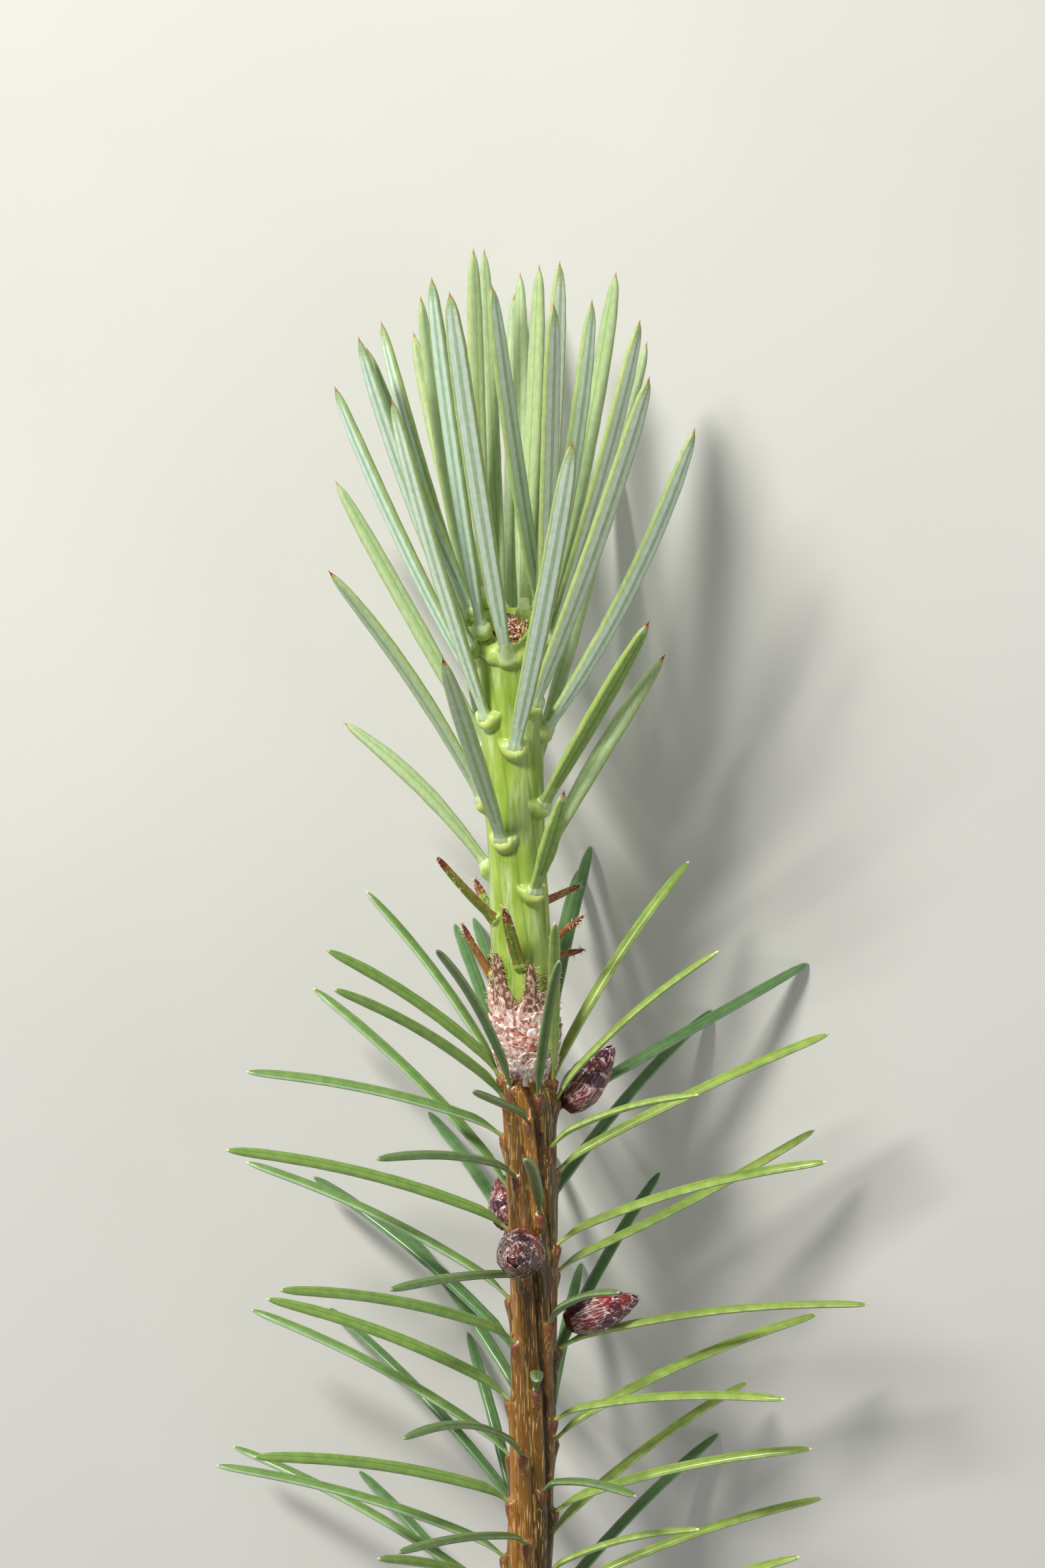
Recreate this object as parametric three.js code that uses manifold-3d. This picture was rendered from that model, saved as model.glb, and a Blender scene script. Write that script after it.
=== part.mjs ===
// The leading shoot of a Douglas fir, cut from its tree and lying on a table: last year's brown wood,
// the collar of bud scales, this year's green wood and its tuft, and four side buds.
// All sizes are millimetres and degrees. While the shoot is built, +X is its right, +Y runs from the
// cut to the tip, +Z faces up and height 0 is the stem's middle. The finished group is then moved so
// that its lowest needles lie on Z = 0.

import * as THREE from 'three';
import Module from 'manifold-3d';

const wasm = await Module();
wasm.setup();

const DEGREE = Math.PI / 180;
const GOLDEN_ANGLE = 137.5;

// Wood. Places along the stem are distances from the cut.
const BROWN_START = 0;
const BROWN_END = 57.3;
const GREEN_FOOT = { start: 62.4, end: 65.4, radius: 1.75 };
const GREEN_SHAFT = { start: 65.8, end: 94 };

// The green wood's domed end: place, share of the core's radius
const GREEN_DOME = [[94.8, 0.85], [95.4, 0.45]];

// Radius of the wood over its leaf cushions: place, radius
const GIRTH = [
    [0, 2.1], [32, 2.1], [54, 2.3], [64, 2.6], [76, 2.45], [88, 2.6], [94, 3.0], [97.5, 2.5],
];
const STEM_SIDES = 16;
const STEM_STEP = 8;

// The stem's slight bow to the right and back
const BOW = 1.1;
const BOW_CREST = 33;
const BOW_HALF_WAVE = 72;
const BOW_SHIFT = -0.12;

// Leaf cushions run down the stem as ridges round its core, one for every eighth leaf. They are
// stepped closer where the leaves crowd and the ridges turn fast.
const RIDGES = 8;
const RIDGE_DEPTH = 0.4;
const RIDGE_GAP = 0.36;
const CORE_CLEARANCE = 0.34;
const RIDGE_STEP = 7;
const CROWDED_STEP = 1.3;
const TURN_PER_LEAF = 2.5;

// Leaves are numbered down the brown wood from 0, and down to 0 on the green wood. Every leaf stands
// a golden angle round from the one above. Azimuth 0 faces up and 90 is right. Shifts say how far some
// leaves sit above or below their even place. An arch is how far a needle bows toward the shoot's tip,
// as a share of its length.
const BROWN = {
    first: -12, last: 46, azimuth: -3, zero: 53, step: 1.12, crowd: 0.9, crowdPower: 0.6,
    ridgeStart: 0, crowded: 53, ridgeEnd: 57.2, rootLift: 0.05, arch: 0.04,
    shifts: { 10: 1.0, 11: 0.9, 14: 1.5, 21: -0.8, 26: -1.1, 29: -0.9 },
    arches: { 0: 0.1, 1: 0, 6: 0.02, 13: 0.02, 14: -0.02, 26: 0.08, 29: 0.035, 34: 0.03 },
};
const GREEN = {
    first: -38, last: 2, azimuth: -4, zero: 67.5, step: 1.24, ring: -21, ringStep: 0.2, footStep: 0.8,
    ridgeStart: 65.7, crowded: 93, ridgeEnd: 97.3, rootLift: 0.18, arch: -0.015,
    shifts: { '-2': -0.9, '-8': 0.8, '-10': 1.0, '-13': 2.6, '-15': 0.9, '-16': 1.2 },
    arches: { '-6': 0.05, '-7': 0.02, '-8': 0, '-10': 0, '-11': 0.03, '-14': 0, '-15': -0.035 },
};

// How far needles stand out from the stem's middle, and how far those rise whose tips aren't listed.
// The leaves at the foot of the green wood are small scales, up to the last long leaf.
const BROWN_REACH = 20;
const BROWN_RISE = 10;
const GREEN_REACH = 15.5;
const GREEN_REACH_LOSS = 0.5;
const SCALE_LEAF_REACH = 5.5;
const GREEN_RISE = 19;
const SCALE_LEAF_RISE = 4;
const LAST_LONG_LEAF = -5;

// The shoot lies on its undermost needles, which its weight presses flat. The tip of such a needle
// lies this far above the table.
const AXIS_HEIGHT = 16.4;
const LEGS = [-9, -12, -17];
const PRESSED_HEIGHT = 0.1;

// The view that the needles' tips were measured in: how far it leans toward the shoot's tip, how far
// away it is, and the distance from the cut to the point of the stem at its middle
const VIEW_LEAN = 15;
const VIEW_DISTANCE = 363;
const VIEW_MIDDLE = 82.4;

// Needle tips as they show in that view: leaf, millimetres right of the middle, millimetres up
const BROWN_TIPS = [
    [-12, 5.7, -5.1], [-11, -16.4, -13.8], [-10, 2.7, -11.5], [-9, -4.1, -11.1], [-8, -7.2, -13.8],
    [-7, 13.9, -6.4], [-6, -13.1, -8.9], [-5, 3.1, -14.7], [-4, 4.7, -7.1], [-3, -15.8, -17.1],
    [-2, 16.4, -13.9], [-1, -5.7, -11.6], [0, -4.1, -25.6], [1, 23.8, -14.9], [2, -23.1, -24.0],
    [3, 14.7, -25.9], [5, -12.2, -31.3], [6, 25.6, -20.8], [7, -17.5, -17.0], [8, 0.3, -31.3],
    [9, 15.8, -18.8], [10, -24.8, -30.5], [11, 25.4, -31.5], [12, -7.9, -27.3], [13, -11.1, -42.2],
    [14, 24.4, -28.8], [15, -23.1, -31.5], [16, 8.1, -42.4], [18, -20.3, -42.2], [19, 28.8, -43.4],
    [20, -17.5, -32.7], [21, 1.2, -49.8], [22, 11.5, -32.3], [23, -21.4, -42.9], [24, 21.9, -51.3],
    [25, -10.2, -36.8], [26, -10.0, -54.6], [27, 24.6, -44.2], [28, -22.7, -43.8], [29, 9.5, -59.4],
    [30, 4.9, -39.8], [31, -22.5, -56.1], [32, 24.2, -55.4], [33, -16.2, -43.6], [34, -10.4, -64.1],
    [35, 18.8, -49.8], [36, -25.6, -56.8], [38, -4.6, -45.6], [40, 25.1, -59.5], [41, -24.2, -55.2],
    [43, 16.4, -54.1], [45, 23.2, -64.4], [46, -13.7, -57.2],
];
const GREEN_TIPS = [
    [2, -5.0, -11.7], [1, 5.1, -13.8], [0, -1.5, -10.4], [-2, 5.1, -11.0], [-3, -7.1, -6.1],
    [-4, 4.8, -8.4], [-5, 3.5, -0.5], [-6, -15.0, 5.2], [-7, 11.9, 10.8], [-8, -6.7, 10.5],
    [-10, 10.6, 13.6], [-11, -16.2, 17.8], [-12, 7.8, 27.0], [-13, 4.2, 28.6], [-14, -15.6, 25.3],
    [-15, 14.4, 29.7], [-16, -10.9, 32.1], [-17, -0.7, 40.9], [-18, 10.6, 34.0], [-19, -15.7, 33.2],
    [-20, 10.4, 36.9], [-21, -6.1, 41.1], [-22, -9.1, 37.7], [-23, 9.8, 38.8], [-24, -13.7, 37.3],
    [-25, -0.2, 42.7], [-26, 2.6, 40.1], [-27, -8.5, 40.7], [-28, 7.8, 42.7], [-29, -7.6, 42.3],
    [-30, -3.2, 44.6], [-31, 3.1, 43.6], [-32, -11.8, 38.6], [-33, 3.1, 40.9], [-34, -2.6, 41.7],
    [-35, -4.1, 44.7], [-36, 5.8, 40.4], [-37, -13.0, 36.4], [-38, 1.4, 43.3],
];

// Blade sections. The foot's are at millimetres from the cushion, the blade's at shares of the
// needle's length: place, width, thickness.
const OLD_NEEDLE = {
    foot: [[-0.3, 0.8, 0.7], [1.0, 0.55, 0.5], [3.2, 1.15, 0.7]],
    blade: [[0.55, 1.35, 0.8], [0.93, 1.1, 0.6], [1, 0.3, 0.25]],
};
const NEW_NEEDLE = {
    foot: [[-0.35, 1.3, 0.8], [0.3, 1.5, 1.0], [0.95, 0.6, 0.5], [3.0, 1.2, 0.6]],
    blade: [[0.45, 1.45, 0.75], [0.88, 1.2, 0.6], [1, 0.12, 0.1]],
};
const SCALE_LEAF = {
    foot: [[-0.3, 1.1, 0.7], [0.3, 1.1, 0.8], [0.9, 0.7, 0.45]],
    blade: [[0.6, 0.75, 0.4], [1, 0.12, 0.1]],
};
const BLADE_SIDES = 4;

// A needle that would touch one already grown is raised or lowered along the line of sight
const NEEDLE_ROOM = 1.2;
const BUD_ROOM = 0.95;
const ROOM_STEP = 0.5;
const ROOM_TRIES = 12;
const ROOM_SAMPLES = 16;

// Side buds: name, azimuth, place along the stem, the way it points, its length and its half width
const BUDS = [
    ['bud_upper_right', 111, 53.4, [0.62, 0.74, -0.26], 6.9, 1.7],
    ['bud_front', -14, 42.2, [-0.16, 0.16, 0.97], 6.4, 2.0],
    ['bud_left', -136, 42.0, [-0.26, 0.88, -0.4], 6.2, 1.5],
    ['bud_lower_right', 94, 34.3, [0.95, 0.31, -0.05], 6.8, 1.7],
];

// A bud's outline: share of its length, share of its half width
const BUD_PROFILE = [
    [0, 0.45], [0.12, 0.78], [0.32, 1], [0.55, 0.92], [0.78, 0.58], [0.93, 0.24], [1, 0.06],
];
const BUD_SIDES = 10;
const BUD_CLEARANCE = 0.36;

// The bud at the shoot's tip, inside the ring of needles
const TIP_BUD = { start: 95.8, length: 3.4, radius: 1.45 };

// The collar of old bud scales between the brown and the green wood: place, radius. Its upper part
// is a wall round the foot of the green wood.
const COLLAR = [[57.6, 1.7], [58.3, 2.1], [59.4, 2.6], [60.5, 2.78], [62.0, 2.7]];
const COLLAR_WALL = { top: 64.6, inner: 2.15, outer: 2.7, overshoot: 1 };

// Scales that stand up from the collar: place, outer radius, width
const SCALE_AZIMUTHS = [-60, 17, 100, 165, -118];
const SCALE_ROWS = [[61.5, 2.55, 1.9], [65.0, 3.15, 1.33], [67.6, 3.4, 0.15]];
const SCALE_THICKNESS = 0.32;

const MATERIALS = {
    brownWood: new THREE.MeshStandardMaterial({ color: 0x9c5f2a, roughness: 0.45, metalness: 0 }),
    greenWood: new THREE.MeshStandardMaterial({ color: 0x9bbf3c, roughness: 0.4, metalness: 0 }),
    collar: new THREE.MeshStandardMaterial({ color: 0xb89a92, roughness: 0.9, metalness: 0 }),
    bud: new THREE.MeshStandardMaterial({ color: 0x63312f, roughness: 0.55, metalness: 0 }),
    oldNeedles: new THREE.MeshStandardMaterial({ color: 0x5f8a3a, roughness: 0.45, metalness: 0 }),
    newNeedles: new THREE.MeshStandardMaterial({ color: 0xa3bda6, roughness: 0.6, metalness: 0 }),
};

// Places on the stem

function between(table, at) {
    let [low, value] = table[0];
    for (const [high, next] of table) {
        if (at <= high) {
            return high === low ? next : value + (next - value) * Math.max(0, at - low) / (high - low);
        }
        [low, value] = [high, next];
    }
    return value;
}

function girth(along) {
    return between(GIRTH, along);
}

function stemMiddle(along) {
    const bow = BOW * Math.cos(Math.PI * (along - BOW_CREST) / BOW_HALF_WAVE);
    return new THREE.Vector3(BOW_SHIFT + bow, along, 0);
}

function outward(azimuth) {
    return new THREE.Vector3(Math.sin(azimuth * DEGREE), 0, Math.cos(azimuth * DEGREE));
}

function onStem(azimuth, along, radius) {
    return stemMiddle(along).addScaledVector(outward(azimuth), radius);
}

// Where each leaf sits

function evenSeat(wood, leaf) {
    if (wood === BROWN && leaf >= 0) {
        return wood.zero - wood.step * leaf;
    }
    if (wood === BROWN) {
        return wood.zero + wood.crowd * (-leaf) ** wood.crowdPower;
    }
    if (leaf > 0) {
        return wood.zero - wood.footStep * leaf;
    }
    const below = Math.max(leaf, wood.ring);
    return wood.zero - wood.step * below + wood.ringStep * (below - leaf);
}

function leafAt(wood, along) {
    if (wood === BROWN && along <= wood.zero) {
        return (wood.zero - along) / wood.step;
    }
    if (wood === BROWN) {
        return -(((along - wood.zero) / wood.crowd) ** (1 / wood.crowdPower));
    }
    if (along < wood.zero) {
        return (wood.zero - along) / wood.footStep;
    }
    const ringStart = wood.zero - wood.step * wood.ring;
    if (along < ringStart) {
        return (wood.zero - along) / wood.step;
    }
    return wood.ring - (along - ringStart) / wood.ringStep;
}

function rankOf(leaf) {
    return ((leaf % RIDGES) + RIDGES) % RIDGES;
}

function ridgeAzimuth(wood, rank, along) {
    return wood.azimuth + GOLDEN_ANGLE * rank + TURN_PER_LEAF * (leafAt(wood, along) - rank);
}

function seatOf(wood, leaf) {
    return evenSeat(wood, leaf) + (wood.shifts[leaf] ?? 0);
}

// Closed surfaces from rings of points

function loft(rings) {
    const sides = rings[0].length;
    const points = rings.flat();
    const faces = [];
    for (let ring = 0; ring + 1 < rings.length; ring += 1) {
        for (let side = 0; side < sides; side += 1) {
            const a = ring * sides + side;
            const b = ring * sides + (side + 1) % sides;
            faces.push(a, b, b + sides, a, b + sides, a + sides);
        }
    }
    for (const [ring, flip] of [[0, true], [rings.length - 1, false]]) {
        const middle = new THREE.Vector3();
        rings[ring].forEach((point) => middle.addScaledVector(point, 1 / sides));
        points.push(middle);
        for (let side = 0; side < sides; side += 1) {
            const a = ring * sides + side;
            const b = ring * sides + (side + 1) % sides;
            faces.push(points.length - 1, flip ? b : a, flip ? a : b);
        }
    }
    const geometry = new THREE.BufferGeometry().setFromPoints(points);
    geometry.setIndex(faces);
    return geometry;
}

function toSolid(geometry) {
    return new wasm.Manifold(new wasm.Mesh({
        numProp: 3,
        vertProperties: new Float32Array(geometry.attributes.position.array),
        triVerts: new Uint32Array(geometry.index.array),
    }));
}

function fuse(geometries) {
    return geometries.map(toSolid).reduce((whole, piece) => whole.add(piece));
}

function addMesh(group, name, solid, material) {
    const result = solid.getMesh();
    const places = new Float32Array(result.vertProperties);
    const geometry = new THREE.BufferGeometry();
    geometry.setAttribute('position', new THREE.BufferAttribute(places, 3));
    geometry.setIndex(new THREE.BufferAttribute(new Uint32Array(result.triVerts), 1));
    geometry.computeVertexNormals();
    const mesh = new THREE.Mesh(geometry, material);
    mesh.name = name;
    group.add(mesh);
}

function ringAround(along, radius, sides) {
    const ring = [];
    for (let side = 0; side < sides; side += 1) {
        ring.push(onStem(-360 * side / sides, along, radius));
    }
    return ring.reverse();
}

function stations(start, end, step) {
    const count = Math.ceil((end - start) / step);
    return Array.from({ length: count + 1 }, (_, at) => start + (end - start) * at / count);
}

// Stems, collar and buds

function coreRadius(along) {
    return girth(along) - RIDGE_DEPTH - CORE_CLEARANCE;
}

function brownStem() {
    const rings = stations(BROWN_START, BROWN_END, STEM_STEP);
    return loft(rings.map((along) => ringAround(along, coreRadius(along), STEM_SIDES)));
}

function greenStem() {
    const foot = [GREEN_FOOT.start, GREEN_FOOT.end].map((along) => [along, GREEN_FOOT.radius]);
    const places = stations(GREEN_SHAFT.start, GREEN_SHAFT.end, STEM_STEP);
    const shaft = places.map((along) => [along, coreRadius(along)]);
    const dome = GREEN_DOME.map(([along, share]) => [along, share * coreRadius(along)]);
    const rows = [...foot, ...shaft, ...dome];
    return loft(rows.map(([along, radius]) => ringAround(along, radius, STEM_SIDES)));
}

function ridge(wood, rank) {
    const even = stations(wood.ridgeStart, wood.crowded, RIDGE_STEP);
    const crowded = stations(wood.crowded, wood.ridgeEnd, CROWDED_STEP).slice(1);
    const rings = [];
    for (const along of [...even, ...crowded]) {
        const outer = girth(along);
        const inner = outer - RIDGE_DEPTH;
        const half = (180 / RIDGES) - RIDGE_GAP / 2 / inner / DEGREE;
        const middle = ridgeAzimuth(wood, rank, along);
        const [low, high] = [middle - half, middle + half];
        rings.push([
            onStem(middle, along, outer), onStem(high, along, outer), onStem(high, along, inner),
            onStem(middle, along, inner), onStem(low, along, inner), onStem(low, along, outer),
        ]);
    }
    return loft(rings);
}

function budSolid(root, aim, length, radius) {
    const turn = new THREE.Quaternion().setFromUnitVectors(new THREE.Vector3(0, 1, 0), aim);
    const rings = BUD_PROFILE.map(([share, wide]) => {
        const ring = [];
        for (let side = 0; side < BUD_SIDES; side += 1) {
            const spoke = outward(360 * side / BUD_SIDES).multiplyScalar(radius * wide);
            ring.push(spoke.applyQuaternion(turn).add(root).addScaledVector(aim, share * length));
        }
        return ring;
    });
    return loft(rings);
}

function budPlace([name, azimuth, seat, way, length, radius]) {
    const aim = new THREE.Vector3(...way).normalize();
    const tilt = Math.sqrt(1 - aim.dot(outward(azimuth)) ** 2);
    const footRadius = BUD_PROFILE[0][1] * radius;
    const root = onStem(azimuth, seat, girth(seat) + BUD_CLEARANCE + footRadius * tilt);
    return { name, root, aim, length, radius };
}

function collar() {
    const disc = COLLAR.map(([along, radius]) => ringAround(along, radius, STEM_SIDES));
    const rim = ringAround(COLLAR_WALL.top, COLLAR_WALL.outer, STEM_SIDES);
    const body = toSolid(loft([...disc, rim]));
    const floor = COLLAR[COLLAR.length - 1][0];
    const bore = toSolid(loft([floor, COLLAR_WALL.top + COLLAR_WALL.overshoot].map((along) => {
        return ringAround(along, COLLAR_WALL.inner, STEM_SIDES);
    })));
    const scales = SCALE_AZIMUTHS.map((azimuth) => toSolid(scale(azimuth)));
    return scales.reduce((whole, piece) => whole.add(piece), body.subtract(bore));
}

function scale(azimuth) {
    return loft(SCALE_ROWS.map(([along, outer, width]) => {
        const half = width / 2 / outer / DEGREE;
        const inner = outer - SCALE_THICKNESS;
        const [low, high] = [azimuth - half, azimuth + half];
        return [
            onStem(low, along, outer), onStem(azimuth, along, outer), onStem(high, along, outer),
            onStem(high, along, inner), onStem(azimuth, along, inner), onStem(low, along, inner),
        ];
    }));
}

// Needles

function sightPoint(right, up, height) {
    const [ahead, upward] = [Math.sin(VIEW_LEAN * DEGREE), Math.cos(VIEW_LEAN * DEGREE)];
    const eye = new THREE.Vector3(0, VIEW_MIDDLE + VIEW_DISTANCE * ahead, VIEW_DISTANCE * upward);
    const seen = new THREE.Vector3(right, VIEW_MIDDLE + up * upward, -up * ahead);
    const share = (height - eye.z) / (seen.z - eye.z);
    return eye.lerp(seen, share);
}

function reachOf(wood, leaf) {
    if (wood === BROWN) {
        return BROWN_REACH;
    }
    if (leaf >= LAST_LONG_LEAF) {
        return SCALE_LEAF_REACH - GREEN_REACH_LOSS * leaf;
    }
    return GREEN_REACH + GREEN_REACH_LOSS * Math.min(0, leaf - GREEN.ring);
}

function tipOf(wood, leaf, azimuth, raise) {
    const lowest = PRESSED_HEIGHT - AXIS_HEIGHT;
    const reach = reachOf(wood, leaf);
    const standing = wood === GREEN && LEGS.includes(leaf);
    const height = standing ? lowest : Math.max(reach * Math.cos(azimuth * DEGREE) + raise, lowest);
    const seen = (wood === BROWN ? BROWN_TIPS : GREEN_TIPS).find(([number]) => number === leaf);
    if (seen) {
        return sightPoint(seen[1], seen[2], height);
    }
    const rise = wood === BROWN ? BROWN_RISE : leaf > LAST_LONG_LEAF ? SCALE_LEAF_RISE : GREEN_RISE;
    const tip = onStem(azimuth, seatOf(wood, leaf) + rise, reach);
    tip.z = height;
    return tip;
}

function needleAt(wood, leaf, raise) {
    const seat = seatOf(wood, leaf);
    const azimuth = ridgeAzimuth(wood, rankOf(leaf), seat);
    const root = onStem(azimuth, seat, girth(seat) + wood.rootLift);
    const tip = tipOf(wood, leaf, azimuth, raise);
    const chord = tip.clone().sub(root);
    const ahead = chord.clone().normalize();
    const toTip = new THREE.Vector3(0, 1, 0).addScaledVector(ahead, -ahead.y).normalize();
    const arch = wood.arches[leaf] ?? wood.arch;
    const bend = root.clone().lerp(tip, 0.5).addScaledVector(toTip, 2 * arch * chord.length());
    const path = new THREE.QuadraticBezierCurve3(root, bend, tip);
    return { wood, leaf, rank: rankOf(leaf), azimuth, path, samples: path.getSpacedPoints(ROOM_SAMPLES) };
}

function isClear(needle, grown, buds) {
    const body = needle.samples.slice(1);
    const crowded = grown.some((other) => {
        const kin = other.wood === needle.wood && other.rank === needle.rank;
        const beside = other.samples.slice(1);
        return !kin && body.some((point) => beside.some((near) => near.distanceTo(point) < NEEDLE_ROOM));
    });
    return !crowded && !buds.some((bud) => body.some((point) => {
        const along = Math.min(1, Math.max(0, point.clone().sub(bud.root).dot(bud.aim) / bud.length));
        const middle = bud.root.clone().addScaledVector(bud.aim, along * bud.length);
        return point.distanceTo(middle) < between(BUD_PROFILE, along) * bud.radius + BUD_ROOM;
    }));
}

function grow(wood, leaf, grown, buds) {
    let best = needleAt(wood, leaf, 0);
    for (let attempt = 1; attempt <= ROOM_TRIES && !isClear(best, grown, buds); attempt += 1) {
        const raise = ROOM_STEP * Math.ceil(attempt / 2) * (attempt % 2 ? 1 : -1);
        best = needleAt(wood, leaf, raise);
    }
    return best;
}

function blade(needle, form) {
    const { path, azimuth } = needle;
    const length = path.getLength();
    const sections = [...form.foot, ...form.blade.map(([share, ...rest]) => [share * length, ...rest])];
    const round = new THREE.Vector3(0, 1, 0).cross(outward(azimuth));
    return loft(sections.map(([place, width, thickness]) => {
        const share = Math.min(1, Math.max(0, place / length));
        const ahead = path.getTangentAt(share);
        const middle = path.getPointAt(share).addScaledVector(ahead, Math.min(0, place));
        const across = round.clone().addScaledVector(ahead, -round.dot(ahead)).normalize();
        const through = ahead.clone().cross(across);
        const ring = [];
        for (let side = 0; side < BLADE_SIDES; side += 1) {
            const angle = 2 * Math.PI * side / BLADE_SIDES;
            const point = middle.clone().addScaledVector(across, Math.cos(angle) * width / 2);
            ring.push(point.addScaledVector(through, Math.sin(angle) * thickness / 2));
        }
        return ring;
    }));
}

function formOf(needle) {
    if (needle.wood === BROWN) {
        return OLD_NEEDLE;
    }
    return needle.leaf > LAST_LONG_LEAF ? SCALE_LEAF : NEW_NEEDLE;
}

// The shoot

function buildShoot() {
    const shoot = new THREE.Group();
    addMesh(shoot, 'stem_last_year', toSolid(brownStem()), MATERIALS.brownWood);
    addMesh(shoot, 'stem_new', toSolid(greenStem()), MATERIALS.greenWood);
    addMesh(shoot, 'bud_scale_collar', collar(), MATERIALS.collar);

    const buds = BUDS.map(budPlace);
    for (const { name, root, aim, length, radius } of buds) {
        addMesh(shoot, name, toSolid(budSolid(root, aim, length, radius)), MATERIALS.bud);
    }
    const tipAim = new THREE.Vector3(0, 1, 0);
    const tipBud = budSolid(stemMiddle(TIP_BUD.start), tipAim, TIP_BUD.length, TIP_BUD.radius);
    addMesh(shoot, 'bud_tip', toSolid(tipBud), MATERIALS.bud);

    const grown = [];
    for (const wood of [BROWN, GREEN]) {
        for (let leaf = wood.last; leaf >= wood.first; leaf -= 1) {
            grown.push(grow(wood, leaf, grown, buds));
        }
    }
    for (const [wood, name, material] of [
        [BROWN, 'needles_old', MATERIALS.oldNeedles], [GREEN, 'needles_new', MATERIALS.newNeedles],
    ]) {
        for (let rank = 0; rank < RIDGES; rank += 1) {
            const needles = grown.filter((needle) => needle.wood === wood && needle.rank === rank);
            const pieces = needles.map((needle) => blade(needle, formOf(needle)));
            addMesh(shoot, `${name}_${rank + 1}`, fuse([ridge(wood, rank), ...pieces]), material);
        }
    }
    return shoot;
}

// The middle of the shoot's box goes to X = 0 and Y = 0, and its lowest point to Z = 0

const shoot = buildShoot();
const box = new THREE.Box3().setFromObject(shoot);
const middle = box.getCenter(new THREE.Vector3());
shoot.position.set(-middle.x, -middle.y, -box.min.z);

export default shoot;
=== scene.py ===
"""The leading shoot of a Douglas fir, cut from its tree and lying on a pale table."""

import math

import bpy
import numpy as np
from mathutils import Matrix, Vector


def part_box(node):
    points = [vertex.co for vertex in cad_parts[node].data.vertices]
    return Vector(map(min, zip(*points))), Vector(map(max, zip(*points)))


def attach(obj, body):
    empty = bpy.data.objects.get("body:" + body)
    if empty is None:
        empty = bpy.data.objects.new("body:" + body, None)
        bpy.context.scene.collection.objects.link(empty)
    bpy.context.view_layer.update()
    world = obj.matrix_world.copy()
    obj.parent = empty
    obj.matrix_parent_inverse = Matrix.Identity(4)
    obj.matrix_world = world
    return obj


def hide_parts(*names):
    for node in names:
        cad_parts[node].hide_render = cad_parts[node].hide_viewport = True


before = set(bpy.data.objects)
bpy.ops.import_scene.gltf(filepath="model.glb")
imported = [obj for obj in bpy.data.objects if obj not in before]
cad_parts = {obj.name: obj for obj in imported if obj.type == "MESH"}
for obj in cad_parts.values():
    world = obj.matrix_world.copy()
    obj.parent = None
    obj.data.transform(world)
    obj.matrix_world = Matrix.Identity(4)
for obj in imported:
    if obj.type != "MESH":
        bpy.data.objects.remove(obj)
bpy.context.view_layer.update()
rng = np.random.default_rng(26)

MM = 0.001
RIGHT, ALONG, UP = np.eye(3)

# Sizes of the wood in millimetres, and places along the stem from the cut
BROWN_FOOT, BROWN_END = 0.0, 57.8
GREEN_FOOT, GREEN_RIM = 62.0, 97.0
GIRTH = [(0, 2.1), (32, 2.1), (54, 2.3), (64, 2.6), (76, 2.45), (88, 2.6), (94, 3.0), (97.5, 2.5)]
BOW, BOW_CREST, BOW_HALF_WAVE, BOW_SHIFT = 1.1, 33, 72, -0.12

# Every leaf stands a golden angle round from the one above, on one of eight ridges of leaf cushions.
# Arches bend needles toward the shoot's tip, by shares of their length. Leaf 0 of the brown wood,
# the foremost one below the collar, is straight here and arched in the part's source.
GOLDEN_ANGLE = 137.5
RIDGES = 8
TURN_PER_LEAF = 2.5
BROWN = {
    "first": -12, "last": 46, "azimuth": -3, "zero": 53, "step": 1.12,
    "crowd": 0.9, "crowd_power": 0.6, "root_lift": 0.05, "arch": 0.04,
    "shifts": {10: 1.0, 11: 0.9, 14: 1.5, 21: -0.8, 26: -1.1, 29: -0.9},
    "arches": {0: 0, 1: 0, 6: 0.02, 13: 0.02, 14: -0.02, 26: 0.08, 29: 0.035, 34: 0.03},
}
GREEN = {
    "first": -38, "last": 2, "azimuth": -4, "zero": 67.5, "step": 1.24,
    "ring": -21, "ring_step": 0.2, "foot_step": 0.8, "root_lift": 0.18, "arch": -0.015,
    "shifts": {-2: -0.9, -8: 0.8, -10: 1.0, -13: 2.6, -15: 0.9, -16: 1.2},
    "arches": {-6: 0.05, -7: 0.02, -8: 0, -10: 0, -11: 0.03, -14: 0, -15: -0.035},
}

# How far needles reach and rise whose tips aren't listed, and the leaves that are small scales
BROWN_REACH, BROWN_RISE = 20, 10
GREEN_REACH, GREEN_REACH_LOSS, GREEN_RISE = 15.5, 0.5, 19
SCALE_LEAF_REACH, SCALE_LEAF_RISE = 5.5, 4
LAST_LONG_LEAF = -5

# The table presses the undermost needles flat, and these needles of the new wood stand on it
AXIS_HEIGHT = 16.4
LEGS = (-9, -12, -17)
PRESSED_HEIGHT = 0.1

# The view: how far it leans toward the tip, its distance, and the point of the stem at its middle
VIEW_LEAN, VIEW_DISTANCE, VIEW_MIDDLE = 15, 363, 82.4
LENS, SENSOR = 100, 36

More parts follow.
